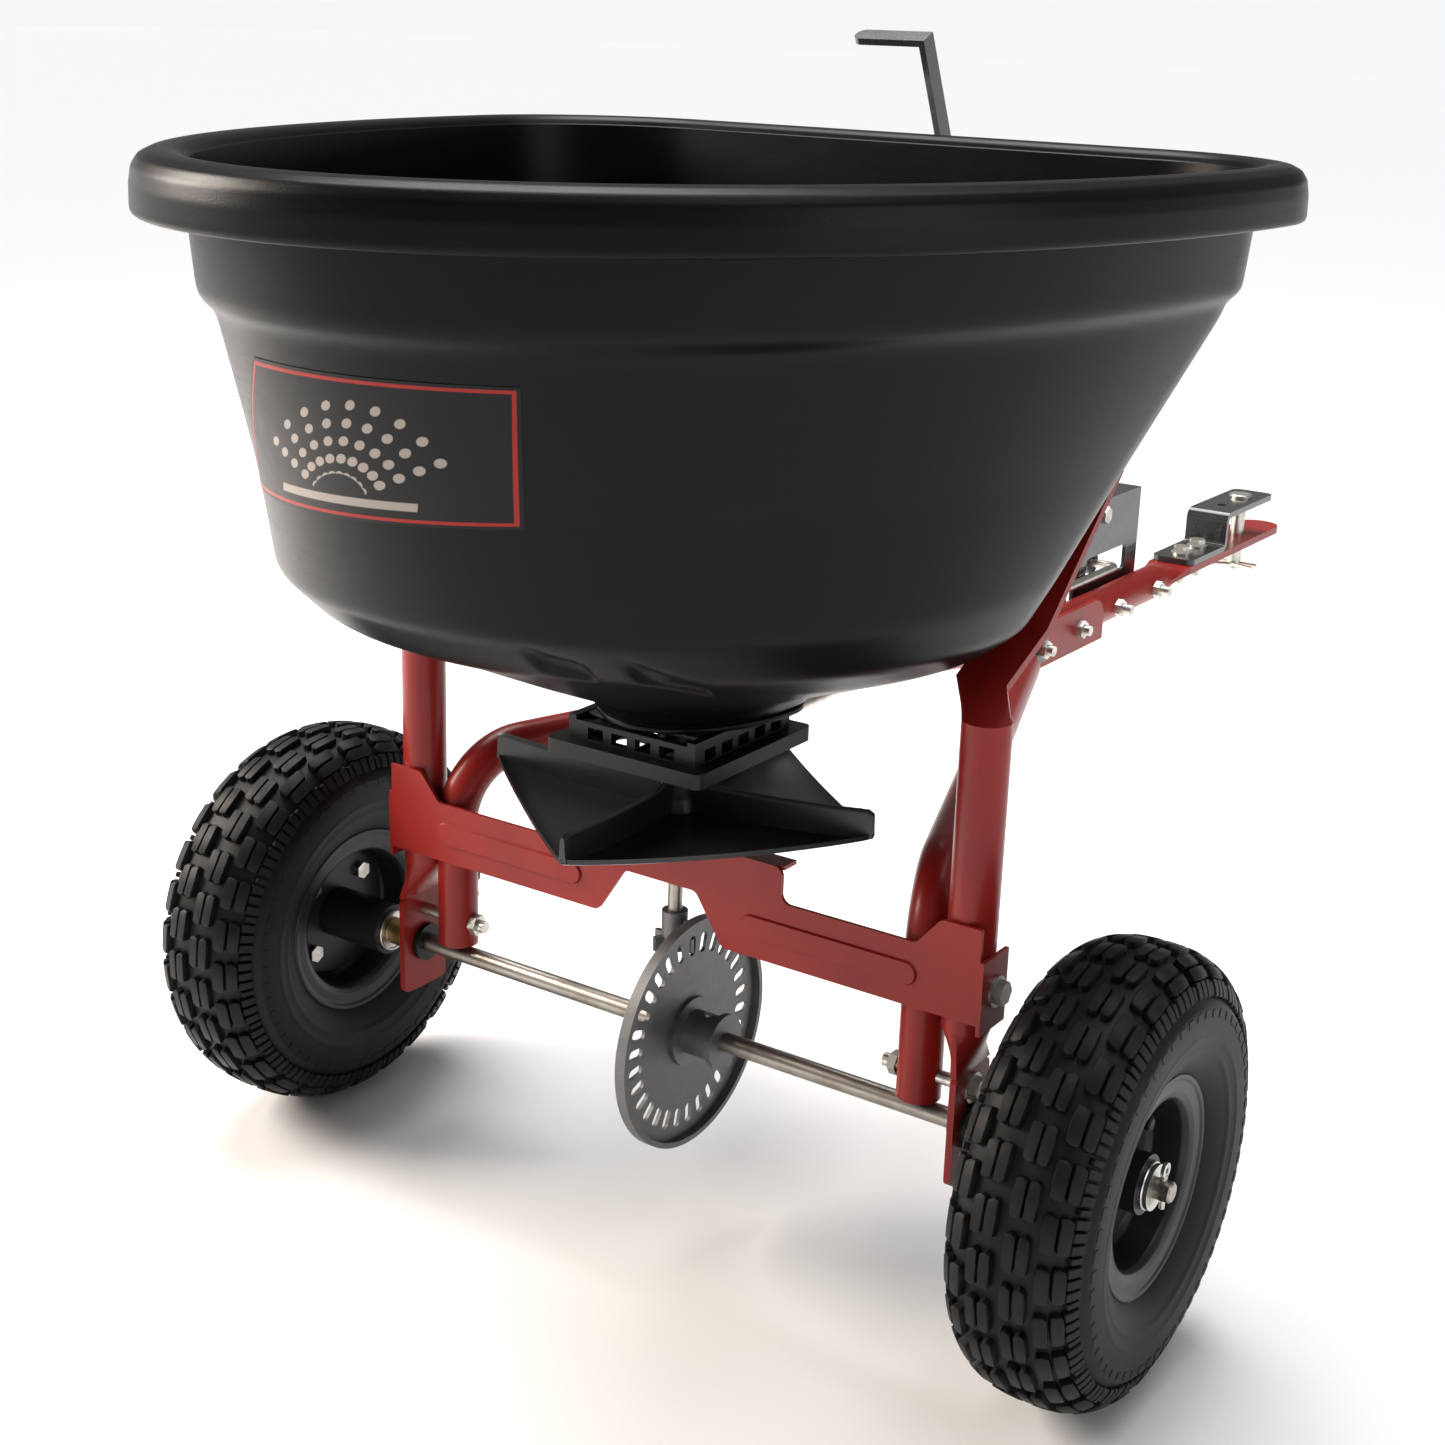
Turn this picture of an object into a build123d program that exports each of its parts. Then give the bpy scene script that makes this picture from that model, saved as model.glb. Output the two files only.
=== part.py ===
from build123d import *
import os
from math import atan2, cos, degrees, radians, sin

# Tow-behind broadcast spreader.
# Frame: +X to the right, +Y towards the towing vehicle, +Z up.
# Origin on the ground, under the middle of the axle. All sizes in millimetres.

os.makedirs("parts", exist_ok=True)
SIDES = {"left": -1, "right": 1}

# ---- Driving dimensions ----------------------------------------------------
# Wheels and axle
WHEEL_R = 130.0
TYRE_HALF_W = 41.0
TYRE_WALL = 7.0
TRACK_HALF = 291.0
RIM_FLANGE_R = 64.0
BEAD_R = 51.0
RIM_HALF_W = 30.0
RIM_SHEET = 2.5
HUB_R = 17.0
HUB_INNER_X = TRACK_HALF - 58
HUB_OUTER_X = TRACK_HALF + 25
RIM_BOLT_R = 3.0
RIM_BOLT_CIRCLE_R = 33.0
RIM_BOLTS = 4
AXLE_R = 6.0
AXLE_HALF_LEN = HUB_OUTER_X + 15
RUN = 0.05
GAP = 0.3

# Drive disc and pinion
DISC_R = 73.5
DISC_RIM_T = 3.5
DISC_RIM_W = 7.0
DISC_PLATE_T = 2.5
DISC_FACE_X = 11.2
SLOTS = 30
SLOT_CIRCLE_R = 56.3
SLOT_LEN = 13.0
SLOT_W = 6.4
DISC_HUB_R = 14.0
DISC_COLLAR_R = 17.0
DISC_HUB_LEN = 26.0
DISC_FLANGE_R = 22.0
TEETH = 6
TOOTH_TIP_R = 14.0
TOOTH_T = 3.0
TOOTH_H = 9.0
PINION_HUB_R = 8.0
PINION_HUB_H = 16.0

# Vertical shaft, impeller and agitator
SHAFT_R = 4.5
SHAFT_TOP_Z = 372.0
IMPELLER_R = 131.0
IMPELLER_Z = 272.0
IMPELLER_T = 2.6
VANE_H = 19.0
VANE_T = 2.6
VANES = 4
VANE_PHASE = 6.0
IMPELLER_HUB_R = 10.0
IMPELLER_HUB_H = 34.0
AGITATOR_R = 2.5
AGITATOR_LEN = 76.0

# Frame tubes
POST_X = 201.0
POST_R = 14.0
TUBE_WALL = 1.6
POST_PLATE_X = 205.5
POST_PLATE_T = 4.0
POST_PLATE_W = 40.0
POST_BOTTOM_Z = 98.0
POST_ROUND_Z = 190.0
POST_BEND_Z = 370.0
INNER_R = 13.0
INNER_BOTTOM_Z = 138.0
INNER_TOP_Z = 268.0
BEND_R = 48.0
CROSS_T = 2.5
CROSS_LOW_Z = 200.0
CROSS_RAIL_Z = 239.0
CROSS_TOP_Z = 261.0
CROSS_BOLT_Z = 216.0
TUBE_BOLT_Z = 153.6

# Tongue and hitch
TONGUE_R = 14.0
TONGUE_Z = 276.0
TONGUE_BACK_Y = 410.0
TONGUE_FLAT_Y = 728.0
TONGUE_FLAT_T = 6.4
TONGUE_FLAT_W = 38.0
TONGUE_FLAT_Z = 281.0
TONGUE_TIP_Y = 948.0
STRAP_T = 4.0
STRAP_H = 34.0
STRAP_FRONT_Y = 556.0
CLEVIS_W = 38.0
CLEVIS_T = 5.0
CLEVIS_BACK_Y = 730.0
CLEVIS_BOLT_Y = [752.0, 786.0]
CLEVIS_RISE_Y = 806.0
CLEVIS_FRONT_Y = 914.0
HITCH_GAP = 29.0
HITCH_Y = 880.0
HITCH_PIN_R = 6.3
HITCH_PIN_TAIL = 30.0

# Hopper: (height, half width, front, back, front corner radius)
HOPPER_WALL = 4.0
LIP_W = 25.0
LIP_SKIRT_H = 30.0
LIP_TOP_Z = 656.0
HOPPER_SECTIONS = [
    (650.0, 262.5, 236.5, -306.5, 93.0),
    (592.0, 257.5, 233.0, -301.0, 90.0),
    (574.0, 248.0, 225.0, -290.0, 84.0),
    (500.0, 229.0, 160.0, -264.0, 84.0),
    (440.0, 216.0, 100.0, -246.0, 80.0),
    (415.0, 206.0, 80.0, -214.0, 70.0),
    (399.0, 186.0, 66.0, -172.0, 62.0),
    (372.0, 118.0, 62.0, -112.0, 44.0),
    (348.0, 66.0, 60.0, -58.0, 26.0),
    (335.0, 57.0, 58.0, -48.0, 22.0),
]

# Gate and flow control
GATE_HALF_W = 55.0
GATE_BACK_Y = -58.0
GATE_FRONT_Y = 60.0
GATE_LOW_Z = 312.0
SHUTTER_T = 2.0
SHUTTER_HALF_W = 39.0
PORT_R = 11.0
PORT_X = 22.0
PORT_Y = -20.0
TRAVEL = 36.0
ROD_R = 3.5
ROD_X = -7.5
ROD_Z = 299.0
BRACKET_T = 3.0
BRACKET_BACK_Y = 565.0
BRACKET_FRONT_Y = 685.0
BRACKET_TOP_Z = 357.0
BRACKET_SHELF = 42.0
LEVER_X = -30.0
LEVER_T = 4.5
LEVER_W = 13.0
PIVOT_Y = 612.0
PIVOT_Z = 345.0
PIVOT_R = 4.0
HANDLE_LEN = 55.0

# Fasteners
BOLT_R = 4.0
HEX_R = 7.2
HEX_H = 5.0

# ---- Sizes that follow from the driving ones --------------------------------
AXLE_Z = WHEEL_R
INNER_X = POST_X - POST_R - INNER_R - GAP
CROSS_FRONT_Y = -POST_R - 0.2
DISC_RIM_INNER_R = DISC_R - DISC_RIM_T
PINION_Z = AXLE_Z + SLOT_CIRCLE_R
TONGUE_FLAT_TOP_Z = TONGUE_FLAT_Z + TONGUE_FLAT_T / 2
CLEVIS_LOW_Z = TONGUE_FLAT_TOP_Z + 0.1
CLEVIS_TOP_Z = TONGUE_FLAT_TOP_Z + HITCH_GAP + CLEVIS_T
HITCH_BORE_R = HITCH_PIN_R + 0.08
NECK_Z = HOPPER_SECTIONS[-1][0]
SHUTTER_Z = NECK_Z - 0.6 - SHUTTER_T
BRACKET_X = -TONGUE_R - 0.2 - BRACKET_T


def hex_bolt(base, length, washer=1.5):
    """Hex head above the base plane's origin and a shank of the given length below it."""
    with BuildPart() as bolt:
        with BuildSketch(base):
            Circle(HEX_R + 2)
        extrude(amount=washer)
        with BuildSketch(base.offset(washer)):
            RegularPolygon(HEX_R, 6)
        extrude(amount=HEX_H)
        with BuildSketch(base):
            Circle(BOLT_R)
        extrude(amount=-length)
    return bolt.part


def hex_nut(base):
    """Nut with its seat on the base plane, bored for the bolt it is on."""
    with BuildPart() as nut:
        with BuildSketch(base):
            RegularPolygon(HEX_R, 6)
            Circle(BOLT_R, mode=Mode.SUBTRACT)
        extrude(amount=HEX_H)
    return nut.part


def round_face(plane, radius):
    """Disc on a plane, to loft a round tube from."""
    with BuildSketch(plane) as face:
        Circle(radius)
    return face.sketch.faces()[0]


def flat_face(plane, width, height):
    """Rectangle on a plane, to loft a tube's pressed end to."""
    with BuildSketch(plane) as face:
        Rectangle(width, height)
    return face.sketch.faces()[0]


def across(x, y, z, side):
    """Plane at a point with its normal pointing away from the middle of the machine."""
    return Plane(origin=(x * side, y, z), x_dir=(0, 1, 0), z_dir=(side, 0, 0))


def forward(x, y, z):
    """Plane at a point with its normal pointing to the front."""
    return Plane(origin=(x, y, z), x_dir=(1, 0, 0), z_dir=(0, 1, 0))


POST_PLATE_TOP_Z = POST_ROUND_Z - 24
STRIP_W = 31.0
STRIP_X = POST_X - 15
STRIP_T = 5.0
STRIP_LOW = (20.0, 382.5)
STRIP_KNEE = (66.0, 404.5)
STRIP_TOP = (148.0, 484.0)
STRIP_BOLT_AT = 0.78
BOSS_R = 12.0
BOSS_DEPTH = 22.0
HOPPER_SCREW_LEN = 18.0
NECK_FLANGE = 3.0
BEARING_R = 10.0
BEARING_FLANGE_R = 14.0


def on_strip(share):
    """Point (y, z) at a share of the leaning top of a post."""
    y = STRIP_KNEE[0] + share * (STRIP_TOP[0] - STRIP_KNEE[0])
    z = STRIP_KNEE[1] + share * (STRIP_TOP[1] - STRIP_KNEE[1])
    return y, z


STRIP_BOLT_Y, STRIP_BOLT_Z = on_strip(STRIP_BOLT_AT)
STRIP_SLOPE = Vector(0, STRIP_TOP[0] - STRIP_KNEE[0], STRIP_TOP[1] - STRIP_KNEE[1]).normalized()
STRIP_OUT = Vector(0, STRIP_SLOPE.Z, -STRIP_SLOPE.Y)


def strip_plane(x, out):
    """Plane on the bolt axis of a post's flat top, out millimetres in front of its middle."""
    origin = Vector(x, STRIP_BOLT_Y, STRIP_BOLT_Z) + STRIP_OUT * out
    return Plane(origin=origin, x_dir=(1, 0, 0), z_dir=STRIP_OUT)


# ---- Hopper -----------------------------------------------------------------
# A D-shaped tub: flat front, rounded front corners and a half-elliptic back. The section
# shrinks towards the outlet, and the rolled lip hangs outside the top of the wall.


def d_face(z, half_w, front, back, corner, grow=0.0):
    """Section at a height: flat front, quarter-circle corners and a half ellipse behind
    them, moved outwards by grow."""
    side_x = half_w - corner
    side_y = front - corner
    with BuildSketch(Plane.XY.offset(z)) as section:
        with BuildLine():
            Line((-side_x, front + grow), (side_x, front + grow))
            CenterArc((side_x, side_y), corner + grow, 0, 90)
            EllipticalCenterArc((0, side_y), half_w + grow, side_y - back + grow, 180, arc_size=180)
            CenterArc((-side_x, side_y), corner + grow, 90, 90)
        make_face()
    return section.sketch.faces()[0]


TOP = HOPPER_SECTIONS[0]
with BuildPart() as hopper:
    loft([d_face(*section) for section in HOPPER_SECTIONS], ruled=True)
    lip = d_face(LIP_TOP_Z - LIP_SKIRT_H, *TOP[1:], grow=LIP_W)
    extrude(lip, amount=LIP_SKIRT_H, dir=(0, 0, 1))
    fillet(hopper.faces().sort_by(Axis.Z)[-1].edges(), radius=9)
    neck_flange = d_face(NECK_Z, *HOPPER_SECTIONS[-1][1:], grow=NECK_FLANGE)
    extrude(neck_flange, amount=NECK_FLANGE, dir=(0, 0, 1))
    under_lip = d_face(LIP_TOP_Z - LIP_SKIRT_H, *TOP[1:], grow=LIP_W - HOPPER_WALL)
    under_lip = under_lip - d_face(LIP_TOP_Z - LIP_SKIRT_H, *TOP[1:])
    extrude(under_lip, amount=LIP_SKIRT_H - 7, dir=(0, 0, 1), mode=Mode.SUBTRACT)
    for side in SIDES.values():
        with BuildSketch(strip_plane(STRIP_X * side, -STRIP_T / 2 - 0.1)):
            Circle(BOSS_R)
        extrude(amount=-BOSS_DEPTH)
    inside = [d_face(*section, grow=-HOPPER_WALL) for section in HOPPER_SECTIONS[:-1]]
    inside.append(d_face(NECK_Z + HOPPER_WALL, *HOPPER_SECTIONS[-1][1:], grow=-HOPPER_WALL))
    mouth = d_face(LIP_TOP_Z + 1, *TOP[1:], grow=-HOPPER_WALL)
    loft([mouth] + inside, ruled=True, mode=Mode.SUBTRACT)
    with BuildSketch(Plane.XY.offset(NECK_Z)):
        with Locations((-PORT_X, PORT_Y), (PORT_X, PORT_Y)):
            Circle(PORT_R)
        Circle(SHAFT_R + 1.5)
    extrude(amount=30, mode=Mode.SUBTRACT)
    for side in SIDES.values():
        with BuildSketch(strip_plane(STRIP_X * side, 0)):
            Circle(BOLT_R)
        extrude(amount=-HOPPER_SCREW_LEN, mode=Mode.SUBTRACT)
hopper.part.label = "hopper"
export_step(hopper.part, "parts/hopper.step")


# ---- Frame tubes ------------------------------------------------------------
# Each outer post is a tube that stands on the axle, pressed flat round the axle bearing at
# its foot and pressed flat again at its top, where it leans forward under the hopper.

for name, side in SIDES.items():
    x_post = POST_X * side
    with BuildPart() as post:
        with BuildSketch(Plane.XY.offset(POST_ROUND_Z)):
            with Locations((x_post, 0)):
                Circle(POST_R)
                Circle(POST_R - TUBE_WALL, mode=Mode.SUBTRACT)
        extrude(amount=POST_BEND_Z - POST_ROUND_Z)
        round_foot = round_face(Plane((x_post, 0, POST_ROUND_Z)), POST_R)
        foot_plane = Plane((POST_PLATE_X * side, 0, POST_PLATE_TOP_Z))
        loft([round_foot, flat_face(foot_plane, POST_PLATE_T, POST_PLATE_W)], ruled=True)
        with BuildSketch(Plane.YZ.offset((POST_PLATE_X - POST_PLATE_T / 2) * side)) as foot:
            with Locations((0, (POST_PLATE_TOP_Z + POST_BOTTOM_Z) / 2)):
                Rectangle(POST_PLATE_W, POST_PLATE_TOP_Z - POST_BOTTOM_Z)
            fillet(foot.vertices().group_by(Axis.Z)[0], radius=5)
            with Locations((0, AXLE_Z)):
                Circle(BEARING_R, mode=Mode.SUBTRACT)
        extrude(amount=POST_PLATE_T * side)
        round_top = round_face(Plane((x_post, 0, POST_BEND_Z)), POST_R)
        lean = (0, STRIP_KNEE[0] - STRIP_LOW[0], STRIP_KNEE[1] - STRIP_LOW[1])
        x_strip = STRIP_X * side
        top_plane = Plane(origin=(x_strip, *STRIP_LOW), x_dir=(1, 0, 0), z_dir=lean)
        loft([round_top, flat_face(top_plane, STRIP_W, STRIP_T)], ruled=True)
        with BuildSketch(Plane.YZ.offset(x_strip - STRIP_W / 2)):
            with BuildLine():
                Polyline(STRIP_LOW, STRIP_KNEE, STRIP_TOP)
            trace(line_width=STRIP_T)
        extrude(amount=STRIP_W)
        with BuildSketch(strip_plane(x_strip, STRIP_T)):
            Circle(BOLT_R + 0.2)
        extrude(amount=-2 * STRIP_T, mode=Mode.SUBTRACT)
        for z in (TUBE_BOLT_Z, CROSS_BOLT_Z):
            with BuildSketch(across(POST_X - 2 * POST_R, 0, z, side)):
                Circle(BOLT_R + 0.2)
            extrude(amount=4 * POST_R, mode=Mode.SUBTRACT)
    post.part.label = f"outer_post_{name}"
    export_step(post.part, f"parts/outer_post_{name}.step")

# The inner tubes stand beside the posts, then bend forward and inward to the tongue, where
# their ends are pressed flat and bolted on either side of it.

RUN_END = Vector(30, 392, TONGUE_Z - 1)
FLAT_START_Y = 424.0
STRAP_X = TONGUE_R + 0.2 + STRAP_T / 2
TONGUE_BOLT_Y = [442.0, 512.0]
BRACKET_BOLT_Y = [592.0, 668.0]

for name, side in SIDES.items():
    foot_point = (INNER_X * side, 0, INNER_BOTTOM_Z)
    corner_point = (INNER_X * side, 0, INNER_TOP_Z)
    run_point = (RUN_END.X * side, RUN_END.Y, RUN_END.Z)
    with BuildPart() as inner_tube:
        with BuildLine() as route:
            FilletPolyline(foot_point, corner_point, run_point, radius=BEND_R)
        with BuildSketch(Plane.XY.offset(INNER_BOTTOM_Z)):
            with Locations(foot_point[:2]):
                Circle(INNER_R)
                Circle(INNER_R - TUBE_WALL, mode=Mode.SUBTRACT)
        sweep(path=route.wires()[0])
        heading = Vector(run_point) - Vector(corner_point)
        round_end = Plane(origin=run_point, x_dir=(1, 0, 0), z_dir=heading)
        flat_end = forward(STRAP_X * side, FLAT_START_Y, TONGUE_Z)
        pressed = [round_face(round_end, INNER_R), flat_face(flat_end, STRAP_T, STRAP_H)]
        loft(pressed, ruled=True)
        with BuildSketch(Plane.YZ.offset((STRAP_X - STRAP_T / 2) * side)):
            with Locations(((FLAT_START_Y + STRAP_FRONT_Y) / 2, TONGUE_Z)):
                strap_face = Rectangle(STRAP_FRONT_Y - FLAT_START_Y, STRAP_H)
            fillet(strap_face.vertices().group_by(Axis.Y)[-1], radius=STRAP_H / 2 - 1)
            with Locations(*[(y, TONGUE_Z) for y in TONGUE_BOLT_Y]):
                Circle(BOLT_R + 0.2, mode=Mode.SUBTRACT)
        extrude(amount=STRAP_T * side)
        for z in (TUBE_BOLT_Z, CROSS_BOLT_Z):
            with BuildSketch(across(INNER_X - 2 * INNER_R, 0, z, side)):
                Circle(BOLT_R + 0.2)
            extrude(amount=4 * INNER_R, mode=Mode.SUBTRACT)
    inner_tube.part.label = f"inner_tube_{name}"
    export_step(inner_tube.part, f"parts/inner_tube_{name}.step")

# The rear cross plate is a stamping that ties the posts together: a rail with two pressed
# ribs, a raised middle with a shelf for the shaft bush, and flanges that lap the posts.

CROSS_HALF = POST_X + POST_R + 0.2
SHELF_W = 172.0
SHELF_D = 13.0
EAR_HALF_W = 20.0
EAR_FRONT_Y = 18.0
BUSH_R = 8.0
FLANGE_FRONT_Y = 13.0

with BuildPart() as cross_plate:
    with BuildSketch(Plane.XZ.offset(-CROSS_FRONT_Y)) as stamping:
        with BuildLine():
            Polyline(
                (0, CROSS_TOP_Z), (SHELF_W / 2, CROSS_TOP_Z), (SHELF_W / 2, CROSS_RAIL_Z),
                (175, CROSS_RAIL_Z), (190, CROSS_TOP_Z - 4), (CROSS_HALF, CROSS_TOP_Z - 4),
                (CROSS_HALF, CROSS_LOW_Z), (46, CROSS_LOW_Z), (26, CROSS_LOW_Z + 31),
                (0, CROSS_LOW_Z + 31), (0, CROSS_TOP_Z),
            )
        make_face()
        mirror(about=Plane.YZ)
        inner_corners = [v for v in stamping.vertices() if 20 < abs(v.X) < CROSS_HALF - 5]
        fillet(inner_corners, radius=6)
    extrude(amount=CROSS_T)
    with BuildSketch(Plane.XY.offset(CROSS_TOP_Z - CROSS_T)):
        with Locations((0, CROSS_FRONT_Y + SHELF_D / 2)):
            Rectangle(SHELF_W, SHELF_D)
        with Locations((0, (CROSS_FRONT_Y + EAR_FRONT_Y) / 2)):
            Rectangle(2 * EAR_HALF_W, EAR_FRONT_Y - CROSS_FRONT_Y)
        Circle(BUSH_R, mode=Mode.SUBTRACT)
    extrude(amount=CROSS_T)
    for side in SIDES.values():
        with BuildSketch(across(CROSS_HALF, 0, CROSS_BOLT_Z, side)):
            with Locations(((FLANGE_FRONT_Y + CROSS_FRONT_Y - CROSS_T) / 2, 0)):
                Rectangle(FLANGE_FRONT_Y - CROSS_FRONT_Y + CROSS_T, 44)
            Circle(BOLT_R + 0.2, mode=Mode.SUBTRACT)
        extrude(amount=CROSS_T)
        with BuildSketch(Plane.XZ.offset(-CROSS_FRONT_Y + CROSS_T)):
            with Locations((118 * side, (CROSS_LOW_Z + CROSS_RAIL_Z) / 2)):
                SlotOverall(118, 15)
        extrude(amount=1.6, taper=30)
cross_plate.part.label = "rear_cross_plate"
export_step(cross_plate.part, "parts/rear_cross_plate.step")

# ---- Tongue and hitch -------------------------------------------------------
# The tongue is a tube, open at the back and pressed flat over its front third.

with BuildPart() as tongue:
    with BuildSketch(Plane.XZ.offset(-TONGUE_BACK_Y)):
        with Locations((0, TONGUE_Z)):
            Circle(TONGUE_R)
            Circle(TONGUE_R - TUBE_WALL, mode=Mode.SUBTRACT)
    extrude(amount=-(TONGUE_FLAT_Y - 36 - TONGUE_BACK_Y))
    round_end = round_face(forward(0, TONGUE_FLAT_Y - 36, TONGUE_Z), TONGUE_R)
    flat_end = forward(0, TONGUE_FLAT_Y, TONGUE_FLAT_Z)
    loft([round_end, flat_face(flat_end, TONGUE_FLAT_W, TONGUE_FLAT_T)], ruled=True)
    with BuildSketch(Plane.XY.offset(TONGUE_FLAT_Z - TONGUE_FLAT_T / 2)):
        with Locations((0, (TONGUE_FLAT_Y + TONGUE_TIP_Y) / 2)):
            tip_face = Rectangle(TONGUE_FLAT_W, TONGUE_TIP_Y - TONGUE_FLAT_Y)
        fillet(tip_face.vertices().group_by(Axis.Y)[-1], radius=TONGUE_FLAT_W / 2 - 1)
        with Locations((0, HITCH_Y)):
            Circle(HITCH_BORE_R, mode=Mode.SUBTRACT)
        with Locations(*[(0, y) for y in CLEVIS_BOLT_Y]):
            Circle(BOLT_R + 0.2, mode=Mode.SUBTRACT)
    extrude(amount=TONGUE_FLAT_T)
    for y in TONGUE_BOLT_Y + BRACKET_BOLT_Y:
        with BuildSketch(Plane.YZ.offset(-TONGUE_R - 5)):
            with Locations((y, TONGUE_Z)):
                Circle(BOLT_R + 0.2)
        extrude(amount=2 * TONGUE_R + 10, mode=Mode.SUBTRACT)
tongue.part.label = "tongue"
export_step(tongue.part, "parts/tongue.step")

# The clevis is a Z-bent strap that stands over the tongue's flat end and leaves a gap for
# the towing vehicle's drawbar.

with BuildPart() as clevis:
    with BuildSketch(Plane.YZ.offset(-CLEVIS_W / 2)):
        with BuildLine():
            FilletPolyline(
                (CLEVIS_BACK_Y, CLEVIS_LOW_Z + CLEVIS_T / 2),
                (CLEVIS_RISE_Y, CLEVIS_LOW_Z + CLEVIS_T / 2),
                (CLEVIS_RISE_Y, CLEVIS_TOP_Z - CLEVIS_T / 2),
                (CLEVIS_FRONT_Y, CLEVIS_TOP_Z - CLEVIS_T / 2),
                radius=6,
            )
        trace(line_width=CLEVIS_T)
    extrude(amount=CLEVIS_W)
    with BuildSketch(Plane.XY.offset(CLEVIS_LOW_Z - 1)):
        with Locations((0, HITCH_Y)):
            Circle(HITCH_BORE_R)
        with Locations(*[(0, y) for y in CLEVIS_BOLT_Y]):
            Circle(BOLT_R + 0.2)
        with Locations((0, HITCH_Y - 44)):
            Circle(BOLT_R)
    extrude(amount=HITCH_GAP + 3 * CLEVIS_T, mode=Mode.SUBTRACT)
    ends = clevis.edges().filter_by(Axis.Z)
    fillet(ends.group_by(Axis.Y)[-1] + ends.group_by(Axis.Y)[0], radius=7)
clevis.part.label = "hitch_clevis"
export_step(clevis.part, "parts/hitch_clevis.step")

with BuildPart() as clevis_bolts:
    for y in CLEVIS_BOLT_Y:
        seat = Plane.XY.offset(CLEVIS_LOW_Z + CLEVIS_T)
        add(hex_bolt(seat, 26).moved(Location((0, y, 0))))
        under = Plane(origin=(0, y, TONGUE_FLAT_Z - TONGUE_FLAT_T / 2), z_dir=(0, 0, -1))
        add(hex_nut(under))
clevis_bolts.part.label = "clevis_bolts"
export_step(clevis_bolts.part, "parts/clevis_bolts.step")

# The hitch pin hangs from a flat button head, and a hairpin clip through its tail keeps it.

PIN_TAIL_Z = TONGUE_FLAT_Z - HITCH_PIN_TAIL
CLIP_R = 1.5
CLIP_Z = PIN_TAIL_Z + 6

with BuildPart() as hitch_pin:
    with BuildSketch(Plane.XY.offset(PIN_TAIL_Z)):
        with Locations((0, HITCH_Y)):
            Circle(HITCH_PIN_R)
    extrude(amount=CLEVIS_TOP_Z + 0.1 - PIN_TAIL_Z)
    with BuildSketch(Plane.XY.offset(CLEVIS_TOP_Z + 0.1)):
        with Locations((0, HITCH_Y)):
            Circle(HITCH_PIN_R + 4)
    extrude(amount=3)
    fillet(hitch_pin.edges().group_by(Axis.Z)[-1], radius=1.5)
    chamfer(hitch_pin.edges().group_by(Axis.Z)[0], length=1.5)
    with BuildSketch(Plane.YZ.offset(-HITCH_PIN_R - 1)):
        with Locations((HITCH_Y, CLIP_Z)):
            Circle(CLIP_R + 0.1)
    extrude(amount=2 * HITCH_PIN_R + 2, mode=Mode.SUBTRACT)
hitch_pin.part.label = "hitch_pin"
export_step(hitch_pin.part, "parts/hitch_pin.step")

with BuildPart() as hitch_clip:
    with BuildLine() as leg:
        Line((-26, HITCH_Y, CLIP_Z), (22, HITCH_Y, CLIP_Z))
    with BuildSketch(Plane(origin=(-26, HITCH_Y, CLIP_Z), z_dir=(1, 0, 0))):
        Circle(CLIP_R)
    sweep(path=leg.wires()[0])
    with BuildLine() as loop:
        FilletPolyline(
            (-26, HITCH_Y, CLIP_Z), (-44, HITCH_Y - 9, CLIP_Z), (-44, HITCH_Y - 25, CLIP_Z),
            (-20, HITCH_Y - 18, CLIP_Z), (0, HITCH_Y - 8.2, CLIP_Z), (22, HITCH_Y - 12, CLIP_Z),
            radius=7,
        )
    with BuildSketch(Plane(origin=(-26, HITCH_Y, CLIP_Z), z_dir=(-18, -9, 0))):
        Circle(CLIP_R)
    sweep(path=loop.wires()[0])
hitch_clip.part.label = "hitch_pin_clip"
export_step(hitch_clip.part, "parts/hitch_pin_clip.step")

# ---- Wheels -----------------------------------------------------------------
# Each wheel is two pressed rim halves bolted face to face on a flanged hub, with a hollow
# tyre seated between their flanges. The hub stands well inboard of the rim.

TYRE_SHOULDER = (35.0, 118.0)
TREAD_EDGE = (27.0, 127.6)
CROWN_HALF_W = 14.0
BEAD_GAP = 0.2
SPACER_R = 9.0
BUSH_FLANGE_R = 14.0
BUSH_FLANGE_T = 3.0
BUSH_LEN = 14.0
HUB_FLANGE_R = 43.0
HUB_FLANGE_T = 4.0
PIN_R = 2.5
COTTER_R = 1.6
COTTER_X = AXLE_HALF_LEN - 5.5
DRIVE_PIN_X = HUB_OUTER_X - BUSH_LEN - 4
AXLE_LINE = Axis((0, 0, AXLE_Z), (1, 0, 0))


def wheel_plane(side):
    """Half-plane of a wheel's profiles: x away from the machine's middle, y the radius."""
    origin = (TRACK_HALF * side, 0, AXLE_Z)
    return Plane(origin=origin, x_dir=(side, 0, 0), z_dir=(0, -side, 0))


def ring(x0, x1, inner, outer, side=1):
    """Round collar on the axle line between two distances from the middle."""
    with BuildPart() as collar:
        with BuildSketch(across(x0, 0, AXLE_Z, side)):
            Circle(outer)
            Circle(inner, mode=Mode.SUBTRACT)
        extrude(amount=x1 - x0)
    return collar.part


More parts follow.
